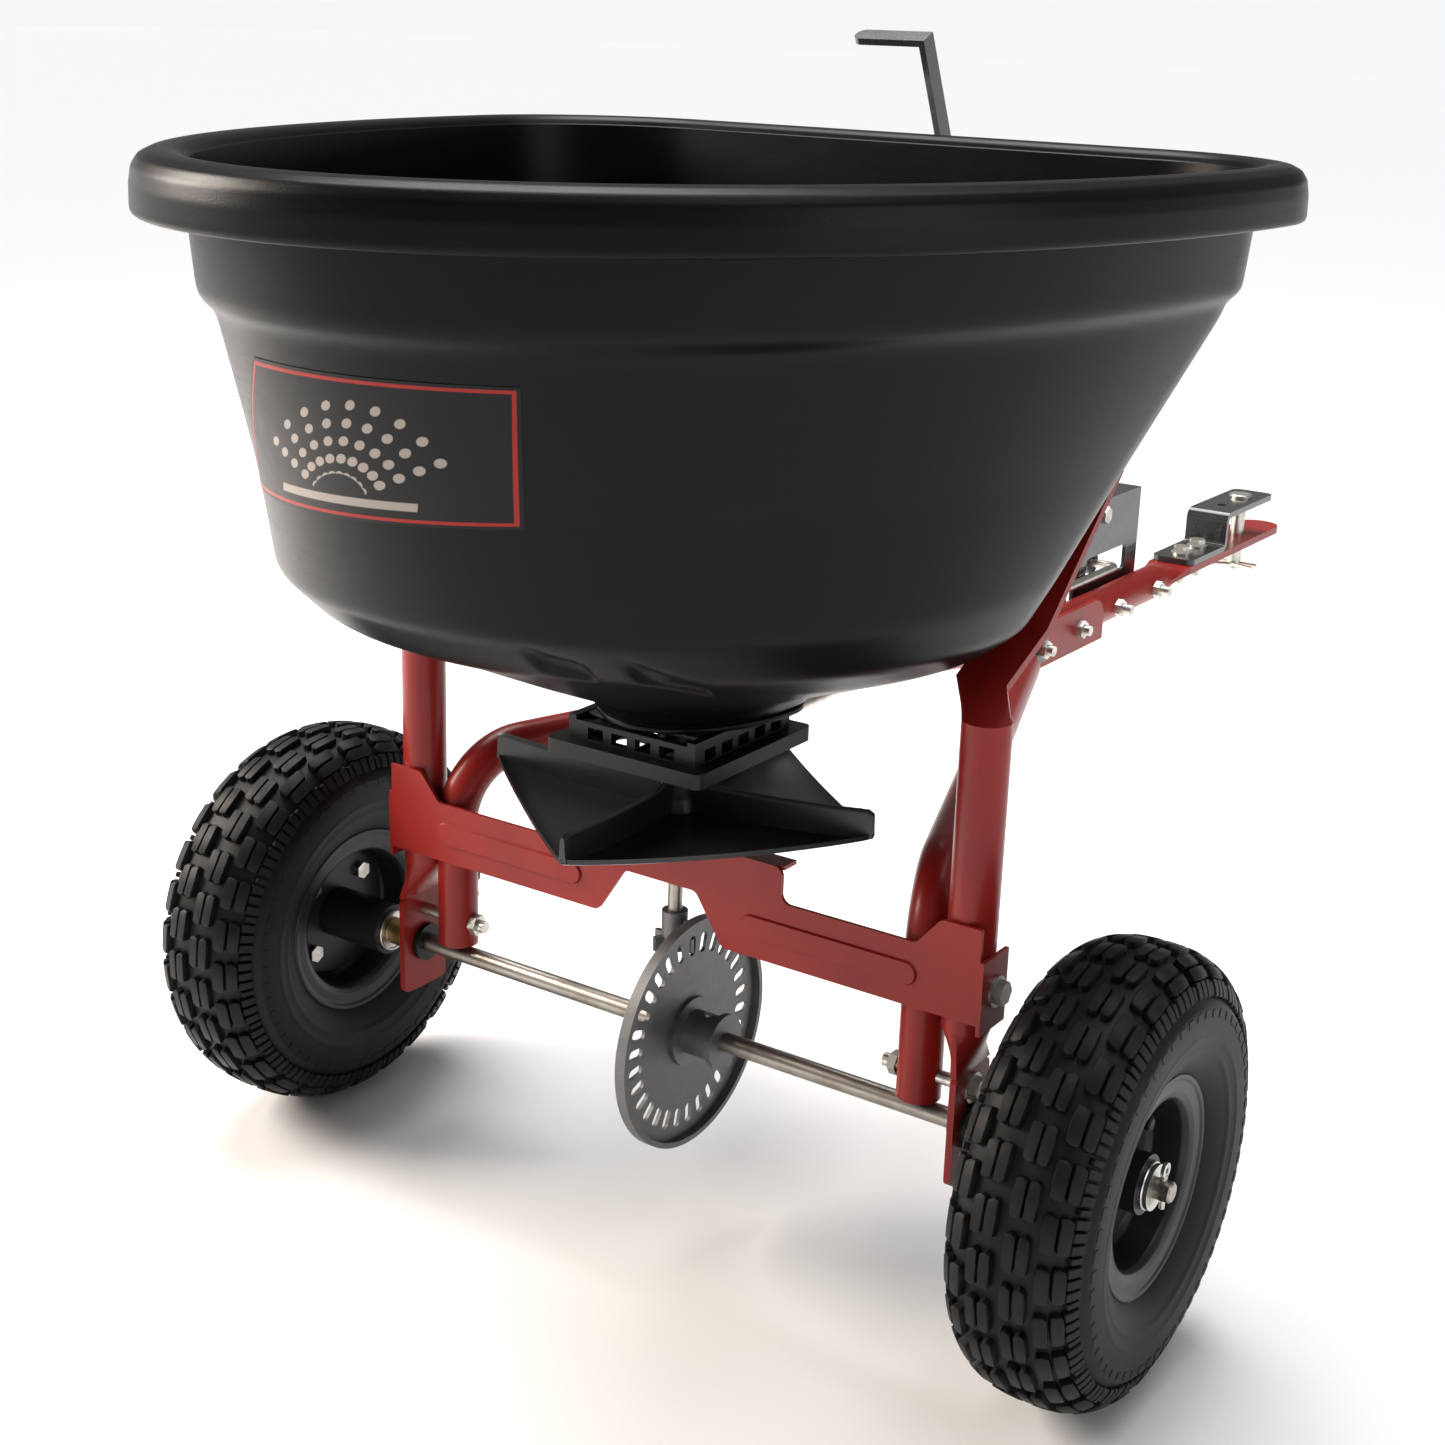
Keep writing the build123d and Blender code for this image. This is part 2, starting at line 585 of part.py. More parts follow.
for name, side in SIDES.items():
    plane = wheel_plane(side)
    bead_x = RIM_HALF_W - RIM_SHEET - BEAD_GAP
    bead_r = BEAD_R + BEAD_GAP
    with BuildPart() as tyre:
        with BuildSketch(plane):
            with BuildLine():
                Polyline((bead_x - 7, bead_r), (bead_x, bead_r), (bead_x, RIM_FLANGE_R + 1))
                ThreePointArc((bead_x, RIM_FLANGE_R + 1), (TYRE_HALF_W, 92), TYRE_SHOULDER)
                ThreePointArc(TYRE_SHOULDER, (33, 124), TREAD_EDGE)
                Polyline(
                    TREAD_EDGE, (CROWN_HALF_W, WHEEL_R), (-CROWN_HALF_W, WHEEL_R),
                    (-TREAD_EDGE[0], TREAD_EDGE[1]),
                )
                ThreePointArc(
                    (-TREAD_EDGE[0], TREAD_EDGE[1]), (-33, 124), (-TYRE_SHOULDER[0], TYRE_SHOULDER[1])
                )
                ThreePointArc(
                    (-TYRE_SHOULDER[0], TYRE_SHOULDER[1]), (-TYRE_HALF_W, 92),
                    (-bead_x, RIM_FLANGE_R + 1),
                )
                Polyline((-bead_x, RIM_FLANGE_R + 1), (-bead_x, bead_r), (7 - bead_x, bead_r))
                Polyline((7 - bead_x, bead_r), (7 - bead_x, RIM_FLANGE_R + 2))
                ThreePointArc(
                    (7 - bead_x, RIM_FLANGE_R + 2), (TYRE_WALL - TYRE_HALF_W, 92), (-26, 114)
                )
                Polyline(
                    (-26, 114), (-CROWN_HALF_W, WHEEL_R - TYRE_WALL - 4),
                    (CROWN_HALF_W, WHEEL_R - TYRE_WALL - 4), (26, 114),
                )
                ThreePointArc((26, 114), (TYRE_HALF_W - TYRE_WALL, 92), (bead_x - 7, RIM_FLANGE_R + 2))
                Line((bead_x - 7, RIM_FLANGE_R + 2), (bead_x - 7, bead_r))
            make_face()
        revolve(axis=AXLE_LINE)
    tyre.part.label = f"tyre_{name}"
    export_step(tyre.part, f"parts/tyre_{name}.step")

    for half, way in {"inner": -1, "outer": 1}.items():
        with BuildPart() as rim_half:
            with BuildSketch(plane):
                with BuildLine():
                    Polyline(
                        (0.05 * way, HUB_R + 0.05), (0.05 * way, BEAD_R),
                        ((RIM_HALF_W - RIM_SHEET) * way, BEAD_R),
                        ((RIM_HALF_W - RIM_SHEET) * way, RIM_FLANGE_R),
                        (RIM_HALF_W * way, RIM_FLANGE_R),
                        (RIM_HALF_W * way, BEAD_R - RIM_SHEET),
                        (RIM_SHEET * way, BEAD_R - RIM_SHEET), (RIM_SHEET * way, HUB_R + 0.05),
                        close=True,
                    )
                make_face()
            revolve(axis=AXLE_LINE)
            with BuildSketch(across(TRACK_HALF - 2 * RIM_HALF_W, 0, AXLE_Z, side)):
                with PolarLocations(RIM_BOLT_CIRCLE_R, RIM_BOLTS, start_angle=45):
                    Circle(RIM_BOLT_R + 0.2)
            extrude(amount=4 * RIM_HALF_W, mode=Mode.SUBTRACT)
        rim_half.part.label = f"rim_{half}_{name}"
        export_step(rim_half.part, f"parts/rim_{half}_{name}.step")

    with BuildPart() as hub:
        add(ring(HUB_INNER_X, HUB_OUTER_X, AXLE_R + 2, HUB_R, side))
        flange_x = TRACK_HALF - RIM_SHEET - 0.05
        add(ring(flange_x - HUB_FLANGE_T, flange_x, AXLE_R + 2, HUB_FLANGE_R, side))
        for x in (HUB_INNER_X, HUB_OUTER_X - BUSH_LEN):
            with BuildSketch(across(x, 0, AXLE_Z, side)):
                Circle(BEARING_R)
            extrude(amount=BUSH_LEN, mode=Mode.SUBTRACT)
        with BuildSketch(across(flange_x - 2 * HUB_FLANGE_T, 0, AXLE_Z, side)):
            with PolarLocations(RIM_BOLT_CIRCLE_R, RIM_BOLTS, start_angle=45):
                Circle(RIM_BOLT_R + 0.2)
        extrude(amount=3 * HUB_FLANGE_T, mode=Mode.SUBTRACT)
        if name == "right":
            with BuildSketch(Plane((DRIVE_PIN_X, 0, AXLE_Z - 2 * HUB_R))):
                Circle(PIN_R)
            extrude(amount=4 * HUB_R, mode=Mode.SUBTRACT)
    hub.part.label = f"hub_{name}"
    export_step(hub.part, f"parts/hub_{name}.step")

    with BuildPart() as hub_bushes:
        for x0, x1, flange in (
            (HUB_INNER_X, HUB_INNER_X + BUSH_LEN, HUB_INNER_X - BUSH_FLANGE_T),
            (HUB_OUTER_X - BUSH_LEN, HUB_OUTER_X, HUB_OUTER_X),
        ):
            add(ring(x0, x1, AXLE_R + RUN, BEARING_R, side))
            add(ring(flange, flange + BUSH_FLANGE_T, AXLE_R + RUN, BUSH_FLANGE_R, side))
    hub_bushes.part.label = f"hub_bushes_{name}"
    export_step(hub_bushes.part, f"parts/hub_bushes_{name}.step")

    with BuildPart() as rim_bolts:
        grip_in = TRACK_HALF - RIM_SHEET - 0.1 - HUB_FLANGE_T
        grip_out = TRACK_HALF + RIM_SHEET + 0.05
        for turn in range(RIM_BOLTS):
            angle = radians(45 + 360 / RIM_BOLTS * turn)
            y = RIM_BOLT_CIRCLE_R * cos(angle)
            z = AXLE_Z + RIM_BOLT_CIRCLE_R * sin(angle)
            head = Plane(origin=(grip_in * side, y, z), z_dir=(-side, 0, 0))
            tail = Plane(origin=(grip_out * side, y, z), z_dir=(side, 0, 0))
            with BuildSketch(head):
                RegularPolygon(6, 6)
            extrude(amount=4)
            with BuildSketch(head):
                Circle(RIM_BOLT_R)
            extrude(amount=-(grip_out - grip_in + 8))
            with BuildSketch(tail):
                RegularPolygon(6, 6)
            extrude(amount=4.5)
    rim_bolts.part.label = f"rim_bolts_{name}"
    export_step(rim_bolts.part, f"parts/rim_bolts_{name}.step")

    with BuildPart() as valve:
        stem_y = 41 * cos(radians(100))
        stem_z = AXLE_Z + 41 * sin(radians(100))
        with BuildSketch(across(TRACK_HALF + RIM_SHEET + 0.1, stem_y, stem_z, side)):
            Circle(5)
        extrude(amount=4)
        with BuildSketch(across(TRACK_HALF + RIM_SHEET + 0.1, stem_y, stem_z, side)):
            Circle(3)
        extrude(amount=18)
        with BuildSketch(across(TRACK_HALF + RIM_SHEET + 16, stem_y, stem_z, side)):
            Circle(4)
        extrude(amount=9)
        chamfer(valve.edges().sort_by(Axis.X)[-1 if side > 0 else 0], length=1)
    valve.part.label = f"valve_{name}"
    export_step(valve.part, f"parts/valve_{name}.step")

    # Brass spacer between the post's bearing and the wheel hub.
    with BuildPart() as spacer:
        bearing_face = POST_PLATE_X + POST_PLATE_T / 2 + BUSH_FLANGE_T
        add(ring(bearing_face + GAP, HUB_INNER_X - BUSH_FLANGE_T - GAP, AXLE_R, SPACER_R, side))
    spacer.part.label = f"axle_spacer_{name}"
    export_step(spacer.part, f"parts/axle_spacer_{name}.step")

    # Flanged nylon bearing pressed into the post's flat foot.
    with BuildPart() as bearing:
        plate_in = POST_PLATE_X - POST_PLATE_T / 2
        plate_out = POST_PLATE_X + POST_PLATE_T / 2
        add(ring(plate_in - 4, plate_out + BUSH_FLANGE_T, AXLE_R + RUN, BEARING_R, side))
        add(ring(plate_out, plate_out + BUSH_FLANGE_T, AXLE_R + RUN, BEARING_FLANGE_R, side))
        add(ring(plate_in - 4, plate_in, AXLE_R + RUN, BEARING_R + 2.5, side))
    bearing.part.label = f"axle_bearing_{name}"
    export_step(bearing.part, f"parts/axle_bearing_{name}.step")

    # Washer and cotter pin that keep the wheel on.
    with BuildPart() as keeper:
        washer_x = HUB_OUTER_X + BUSH_FLANGE_T + GAP
        add(ring(washer_x, washer_x + 2, AXLE_R, BUSH_FLANGE_R - 1, side))
        with BuildSketch(Plane((COTTER_X * side, 0, AXLE_Z - AXLE_R - 5))):
            Circle(COTTER_R)
        extrude(amount=2 * AXLE_R + 8)
        with BuildSketch(across(COTTER_X - 1, 0, AXLE_Z + AXLE_R + 6, side)):
            Circle(4.6)
            Circle(1.8, mode=Mode.SUBTRACT)
        extrude(amount=2)
    keeper.part.label = f"wheel_cotter_{name}"
    export_step(keeper.part, f"parts/wheel_cotter_{name}.step")

# ---- Axle and drive disc ------------------------------------------------------
# The axle turns in the posts. The disc is pinned to it, and its slots drive the pinion.

DISC_HUB_X = DISC_FACE_X + DISC_PLATE_T
DISC_PIN_X = DISC_HUB_X + 13

with BuildPart() as axle:
    with BuildSketch(Plane.YZ.offset(-AXLE_HALF_LEN)):
        with Locations((0, AXLE_Z)):
            Circle(AXLE_R)
    extrude(amount=2 * AXLE_HALF_LEN)
    chamfer(axle.edges(), length=1)
    for x, r in ((DISC_PIN_X, PIN_R), (DRIVE_PIN_X, PIN_R), (COTTER_X, COTTER_R), (-COTTER_X, COTTER_R)):
        with BuildSketch(Plane((x, 0, AXLE_Z - 2 * AXLE_R))):
            Circle(r)
        extrude(amount=4 * AXLE_R, mode=Mode.SUBTRACT)
axle.part.label = "axle"
export_step(axle.part, "parts/axle.step")

with BuildPart() as drive_disc:
    with BuildSketch(Plane.YZ.offset(DISC_FACE_X)):
        with Locations((0, AXLE_Z)):
            Circle(DISC_R)
            Circle(AXLE_R, mode=Mode.SUBTRACT)
            with PolarLocations(SLOT_CIRCLE_R, SLOTS, start_angle=90):
                SlotOverall(SLOT_LEN, SLOT_W, mode=Mode.SUBTRACT)
    extrude(amount=DISC_PLATE_T)
    with BuildSketch(Plane.YZ.offset(DISC_FACE_X)):
        with Locations((0, AXLE_Z)):
            Circle(DISC_R)
            Circle(DISC_RIM_INNER_R, mode=Mode.SUBTRACT)
    extrude(amount=DISC_RIM_W)
drive_disc.part.label = "drive_disc"
export_step(drive_disc.part, "parts/drive_disc.step")

with BuildPart() as disc_hub:
    add(ring(DISC_HUB_X, DISC_HUB_X + 2.5, AXLE_R, DISC_FLANGE_R))
    add(ring(DISC_HUB_X, DISC_HUB_X + DISC_HUB_LEN, AXLE_R, DISC_HUB_R))
    add(ring(DISC_HUB_X + DISC_HUB_LEN - 4, DISC_HUB_X + DISC_HUB_LEN, AXLE_R, DISC_COLLAR_R))
    with BuildSketch(Plane((DISC_PIN_X, 0, AXLE_Z - 2 * DISC_HUB_R))):
        Circle(PIN_R)
    extrude(amount=4 * DISC_HUB_R, mode=Mode.SUBTRACT)
disc_hub.part.label = "disc_hub"
export_step(disc_hub.part, "parts/disc_hub.step")

with BuildPart() as drive_pins:
    for x, half_len in ((DISC_PIN_X, DISC_HUB_R), (DRIVE_PIN_X, HUB_R)):
        with BuildSketch(Plane((x, 0, AXLE_Z - half_len - 1))):
            Circle(PIN_R)
        extrude(amount=2 * half_len + 2)
drive_pins.part.label = "drive_pins"
export_step(drive_pins.part, "parts/drive_pins.step")

# ---- Vertical shaft -----------------------------------------------------------
# The pinion meshes with the disc's slots at the top of the disc, and turns the impeller
# and the agitator through one shaft.

SHAFT_LOW_Z = PINION_Z - TOOTH_H / 2 - 1.5
PINION_PIN_Z = PINION_Z + TOOTH_H / 2 + 10
IMPELLER_HUB_Z = IMPELLER_Z - 5
IMPELLER_PIN_Z = IMPELLER_HUB_Z + IMPELLER_HUB_H - 7
AGITATOR_Z = SHAFT_TOP_Z - 8
BUSH_BORE_R = SHAFT_R + RUN
BUSH_COLLAR_R = 12.0

with BuildPart() as vertical_shaft:
    with BuildSketch(Plane.XY.offset(SHAFT_LOW_Z)):
        Circle(SHAFT_R)
    extrude(amount=SHAFT_TOP_Z - SHAFT_LOW_Z)
    chamfer(vertical_shaft.edges(), length=0.8)
    for z, r in ((PINION_PIN_Z, 1.6), (IMPELLER_PIN_Z, 1.6), (AGITATOR_Z, AGITATOR_R)):
        with BuildSketch(Plane.YZ.offset(-2 * SHAFT_R)):
            with Locations((0, z)):
                Circle(r)
        extrude(amount=4 * SHAFT_R, mode=Mode.SUBTRACT)
vertical_shaft.part.label = "vertical_shaft"
export_step(vertical_shaft.part, "parts/vertical_shaft.step")

with BuildPart() as pinion:
    with BuildSketch(Plane.XY.offset(PINION_Z - TOOTH_H / 2)):
        Circle(PINION_HUB_R)
        with PolarLocations(0, TEETH):
            Polygon(
                (0, TOOTH_T / 2 + 0.5), (TOOTH_TIP_R - 1, TOOTH_T / 2 - 0.1),
                (TOOTH_TIP_R, TOOTH_T / 2 - 0.7), (TOOTH_TIP_R, 0.7 - TOOTH_T / 2),
                (TOOTH_TIP_R - 1, 0.1 - TOOTH_T / 2), (0, -TOOTH_T / 2 - 0.5), align=None,
            )
        Circle(SHAFT_R, mode=Mode.SUBTRACT)
    extrude(amount=TOOTH_H)
    with BuildSketch(Plane.XY.offset(PINION_Z + TOOTH_H / 2)):
        Circle(PINION_HUB_R)
        Circle(SHAFT_R, mode=Mode.SUBTRACT)
    extrude(amount=PINION_HUB_H)
    with BuildSketch(Plane.YZ.offset(-2 * PINION_HUB_R)):
        with Locations((0, PINION_PIN_Z)):
            Circle(1.6)
    extrude(amount=4 * PINION_HUB_R, mode=Mode.SUBTRACT)
pinion.part.label = "pinion"
export_step(pinion.part, "parts/pinion.step")

with BuildPart() as shaft_pins:
    for z, half_len in ((PINION_PIN_Z, PINION_HUB_R + 0.8), (IMPELLER_PIN_Z, IMPELLER_HUB_R + 2)):
        with BuildSketch(Plane.YZ.offset(-half_len)):
            with Locations((0, z)):
                Circle(1.6)
        extrude(amount=2 * half_len)
shaft_pins.part.label = "shaft_pins"
export_step(shaft_pins.part, "parts/shaft_pins.step")

with BuildPart() as impeller:
    with BuildSketch(Plane.XY.offset(IMPELLER_Z)):
        RegularPolygon(IMPELLER_R, VANES, rotation=VANE_PHASE)
    extrude(amount=IMPELLER_T)
    for turn in range(VANES):
        angle = VANE_PHASE + 360 / VANES * turn
        upright = Plane(
            origin=(0, 0, IMPELLER_Z), x_dir=(cos(radians(angle)), sin(radians(angle)), 0),
            z_dir=(sin(radians(angle)), -cos(radians(angle)), 0),
        )
        with BuildSketch(upright):
            with Locations(((IMPELLER_R - 1) / 2, VANE_H / 2)):
                Rectangle(IMPELLER_R - 3, VANE_H)
        extrude(amount=VANE_T / 2, both=True)
    with BuildSketch(Plane.XY.offset(IMPELLER_HUB_Z)):
        Circle(IMPELLER_HUB_R)
    extrude(amount=IMPELLER_HUB_H)
    with BuildSketch(Plane.XY.offset(IMPELLER_HUB_Z - 1)):
        Circle(SHAFT_R)
    extrude(amount=IMPELLER_HUB_H + 2, mode=Mode.SUBTRACT)
    with BuildSketch(Plane.YZ.offset(-2 * IMPELLER_HUB_R)):
        with Locations((0, IMPELLER_PIN_Z)):
            Circle(1.6)
    extrude(amount=4 * IMPELLER_HUB_R, mode=Mode.SUBTRACT)
impeller.part.label = "impeller"
export_step(impeller.part, "parts/impeller.step")

with BuildPart() as agitator:
    with BuildSketch(Plane.YZ.offset(-AGITATOR_LEN / 2)):
        with Locations((0, AGITATOR_Z)):
            Circle(AGITATOR_R)
    extrude(amount=AGITATOR_LEN)
agitator.part.label = "agitator"
export_step(agitator.part, "parts/agitator.step")

with BuildPart() as lower_bush:
    for z0, z1, outer in (
        (CROSS_TOP_Z, CROSS_TOP_Z + 2.5, BUSH_COLLAR_R),
        (CROSS_TOP_Z - CROSS_T, CROSS_TOP_Z, BUSH_R),
        (CROSS_TOP_Z - CROSS_T - 5, CROSS_TOP_Z - CROSS_T, BUSH_COLLAR_R),
    ):
        with BuildSketch(Plane.XY.offset(z0)):
            Circle(outer)
            Circle(BUSH_BORE_R, mode=Mode.SUBTRACT)
        extrude(amount=z1 - z0)
lower_bush.part.label = "lower_bush"
export_step(lower_bush.part, "parts/lower_bush.step")

# ---- Gate ---------------------------------------------------------------------
# A slotted plastic housing under the outlet holds the upper bush and guides the shutter,
# a steel plate whose two ports line up with the outlet's when it is pushed back.

HOUSING_TOP_Z = NECK_Z - 0.2
GUIDE_Z = SHUTTER_Z - 0.2
BOSS_LOW_Z = GATE_LOW_Z - 8
GATE_WALL = 5.0
TRAY_T = 4.0
WALL_SLOTS = 5
WALL_SLOT_PITCH = 17.0
WALL_SLOT_W = 11.0
WALL_SLOT_H = 7.0
TRAY_RIM_Z = GATE_LOW_Z + 9
TRAY_LEDGE = 10.0
RAIL_HALF_W = SHUTTER_HALF_W + 6
RAIL_LEN = GATE_FRONT_Y - GATE_BACK_Y - 2 * TRAY_LEDGE
WALL_SLOT_Z = TRAY_RIM_Z + WALL_SLOT_H / 2 + 1
TAIL_W = 22.0
ROD_EYE_Y = 103.0
SHUTTER_BACK_Y = PORT_Y - PORT_R - 6

with BuildPart() as gate_housing:
    with BuildSketch(Plane.XY.offset(GATE_LOW_Z)) as tray:
        with Locations((0, (GATE_FRONT_Y + GATE_BACK_Y) / 2)):
            Rectangle(2 * GATE_HALF_W, GATE_FRONT_Y - GATE_BACK_Y)
        fillet(tray.vertices(), radius=5)
    extrude(amount=HOUSING_TOP_Z - GATE_LOW_Z)
    with BuildSketch(Plane.XY.offset(TRAY_RIM_Z)):
        with Locations((0, (GATE_FRONT_Y + GATE_BACK_Y) / 2)):
            Rectangle(2 * GATE_HALF_W + 2, GATE_FRONT_Y - GATE_BACK_Y + 2)
            Rectangle(2 * RAIL_HALF_W, RAIL_LEN, mode=Mode.SUBTRACT)
    extrude(amount=HOUSING_TOP_Z - TRAY_RIM_Z + 1, mode=Mode.SUBTRACT)
    with BuildSketch(Plane.XY.offset(GUIDE_Z)):
        with Locations((0, (GATE_FRONT_Y + GATE_BACK_Y) / 2)):
            Rectangle(2 * SHUTTER_HALF_W + 1, 2 * (GATE_FRONT_Y - GATE_BACK_Y))
    extrude(amount=10, mode=Mode.SUBTRACT)
    with BuildSketch(Plane.XY.offset(GATE_LOW_Z + TRAY_T)):
        with Locations((0, (GATE_FRONT_Y + GATE_BACK_Y) / 2)):
            Rectangle(2 * SHUTTER_HALF_W - 6, RAIL_LEN - 2 * GATE_WALL)
    extrude(amount=20, mode=Mode.SUBTRACT)
    with BuildSketch(Plane.XY.offset(GATE_LOW_Z - 1)):
        for side in SIDES.values():
            chutes = [(PORT_X * side, PORT_Y + along) for along in (0, 28, 52)]
            with Locations(*chutes):
                RectangleRounded(24, 18, 3)
    extrude(amount=TRAY_T + 2, mode=Mode.SUBTRACT)
    for side in SIDES.values():
        with BuildSketch(across(GATE_HALF_W + 1, (GATE_FRONT_Y + GATE_BACK_Y) / 2, WALL_SLOT_Z, side)):
            with GridLocations(WALL_SLOT_PITCH, 1, WALL_SLOTS, 1):
                Rectangle(WALL_SLOT_W, WALL_SLOT_H)
        extrude(amount=SHUTTER_HALF_W - GATE_HALF_W - 8, mode=Mode.SUBTRACT)
    with BuildSketch(Plane((0, GATE_BACK_Y - 1, WALL_SLOT_Z), x_dir=(1, 0, 0), z_dir=(0, -1, 0))):
        with GridLocations(WALL_SLOT_PITCH, 1, WALL_SLOTS - 1, 1):
            Rectangle(WALL_SLOT_W, WALL_SLOT_H)
    extrude(amount=-TRAY_LEDGE - GATE_WALL - 2, mode=Mode.SUBTRACT)
    with BuildSketch(Plane.XY.offset(BOSS_LOW_Z)):
        Circle(BUSH_COLLAR_R + 1)
    extrude(amount=GUIDE_Z - BOSS_LOW_Z - 1)
    with BuildSketch(Plane.XY.offset(BOSS_LOW_Z - 1)):
        Circle(BUSH_R)
    extrude(amount=30, mode=Mode.SUBTRACT)
gate_housing.part.label = "gate_housing"
export_step(gate_housing.part, "parts/gate_housing.step")

with BuildPart() as upper_bush:
    with BuildSketch(Plane.XY.offset(BOSS_LOW_Z)):
        Circle(BUSH_R)
        Circle(BUSH_BORE_R, mode=Mode.SUBTRACT)
    extrude(amount=GUIDE_Z - BOSS_LOW_Z - 1)
upper_bush.part.label = "upper_bush"
export_step(upper_bush.part, "parts/upper_bush.step")

with BuildPart() as shutter:
    with BuildSketch(Plane.XY.offset(SHUTTER_Z)):
        with Locations((0, (SHUTTER_BACK_Y + GATE_FRONT_Y) / 2)):
            Rectangle(2 * SHUTTER_HALF_W, GATE_FRONT_Y - SHUTTER_BACK_Y)
        with Locations((ROD_X, (GATE_FRONT_Y + ROD_EYE_Y + 6) / 2)):
            Rectangle(TAIL_W, ROD_EYE_Y + 6 - GATE_FRONT_Y)
        with Locations((-PORT_X, PORT_Y + TRAVEL), (PORT_X, PORT_Y + TRAVEL)):
            Circle(PORT_R, mode=Mode.SUBTRACT)
        with Locations((0, TRAVEL / 2)):
            shaft_slot_len = TRAVEL + 2 * SHAFT_R + 6
            SlotOverall(shaft_slot_len, 2 * SHAFT_R + 2, rotation=90, mode=Mode.SUBTRACT)
        with Locations((ROD_X, ROD_EYE_Y)):
            Circle(ROD_R, mode=Mode.SUBTRACT)
    extrude(amount=SHUTTER_T)
shutter.part.label = "gate_shutter"
export_step(shutter.part, "parts/gate_shutter.step")

# The control rod runs forward over the tongue. Its back end turns up through the shutter's
# tail, and its front end turns across through the bracket's window and the lever's slot.

HOOK_Y = PIVOT_Y + TRAVEL / 2
HOOK_X = LEVER_X - LEVER_T - 4
ROD_LEAN = atan2(HOOK_Y - PIVOT_Y, PIVOT_Z - ROD_Z)

with BuildPart() as control_rod:
    with BuildLine() as rod_line:
        FilletPolyline(
            (ROD_X, ROD_EYE_Y, SHUTTER_Z + SHUTTER_T + 5), (ROD_X, ROD_EYE_Y, ROD_Z),
            (ROD_X, HOOK_Y, ROD_Z), (HOOK_X, HOOK_Y, ROD_Z), radius=5,
        )
    with BuildSketch(Plane((ROD_X, ROD_EYE_Y, SHUTTER_Z + SHUTTER_T + 5))):
        Circle(ROD_R)
    sweep(path=rod_line.wires()[0])
control_rod.part.label = "control_rod"
export_step(control_rod.part, "parts/control_rod.step")

# ---- Flow control ---------------------------------------------------------------

WINDOW = (587.0, 663.0, 291.0, 312.0)
LEVER_KNEE = (470.0, 374.0)
LEVER_TOP = (303.0, 712.0)
SLOT_REACH = 3.0
STOP_Y = 668.0
STOP_X = -48.0
SHELF_SLOT = (-37.0, -23.0)
WING_SPAN = 24.0

with BuildPart() as bracket:
    with BuildSketch(Plane.YZ.offset(BRACKET_X)):
        with BuildLine():
            Polyline(
                (BRACKET_BACK_Y, BRACKET_TOP_Z), (BRACKET_FRONT_Y, BRACKET_TOP_Z),
                (BRACKET_FRONT_Y, TONGUE_Z - 10), (BRACKET_BACK_Y + 12, TONGUE_Z - 10),
                (BRACKET_BACK_Y, TONGUE_Z + 2), close=True,
            )
        make_face()
        with Locations(((WINDOW[0] + WINDOW[1]) / 2, (WINDOW[2] + WINDOW[3]) / 2)):
            RectangleRounded(WINDOW[1] - WINDOW[0], WINDOW[3] - WINDOW[2], 4, mode=Mode.SUBTRACT)
        with Locations(*[(y, TONGUE_Z) for y in BRACKET_BOLT_Y]):
            Circle(BOLT_R + 0.2, mode=Mode.SUBTRACT)
        with Locations((PIVOT_Y, PIVOT_Z)):
            Circle(PIVOT_R, mode=Mode.SUBTRACT)
    extrude(amount=BRACKET_T)
    with BuildSketch(Plane.XY.offset(BRACKET_TOP_Z - BRACKET_T)):
        with Locations((BRACKET_X - BRACKET_SHELF / 2, (BRACKET_BACK_Y + BRACKET_FRONT_Y) / 2)):
            Rectangle(BRACKET_SHELF, BRACKET_FRONT_Y - BRACKET_BACK_Y)
        with Locations(((SHELF_SLOT[0] + SHELF_SLOT[1]) / 2, BRACKET_BACK_Y + 35)):
            Rectangle(SHELF_SLOT[1] - SHELF_SLOT[0], 80, mode=Mode.SUBTRACT)
        with Locations((STOP_X, (BRACKET_BACK_Y + BRACKET_FRONT_Y) / 2)):
            SlotOverall(BRACKET_FRONT_Y - BRACKET_BACK_Y - 16, 2 * BOLT_R, rotation=90, mode=Mode.SUBTRACT)
    extrude(amount=BRACKET_T)
bracket.part.label = "control_bracket"
export_step(bracket.part, "parts/control_bracket.step")

with BuildPart() as stop_knob:
    seat_z = BRACKET_TOP_Z
    with BuildSketch(Plane((STOP_X, STOP_Y, seat_z - BRACKET_T - 9))):
        Circle(BOLT_R - 0.2)
    extrude(amount=24)
    with BuildSketch(Plane((STOP_X, STOP_Y, seat_z))):
        Circle(HEX_R)
    extrude(amount=6)
    with BuildSketch(Plane((STOP_X, STOP_Y, seat_z + 3))):
        SlotOverall(WING_SPAN, 3)
    extrude(amount=9)
    with BuildSketch(Plane((STOP_X, STOP_Y, seat_z - BRACKET_T)).rotated((180, 0, 0))):
        RegularPolygon(HEX_R, 6)
    extrude(amount=HEX_H)
stop_knob.part.label = "stop_wing_nut"
export_step(stop_knob.part, "parts/stop_wing_nut.step")

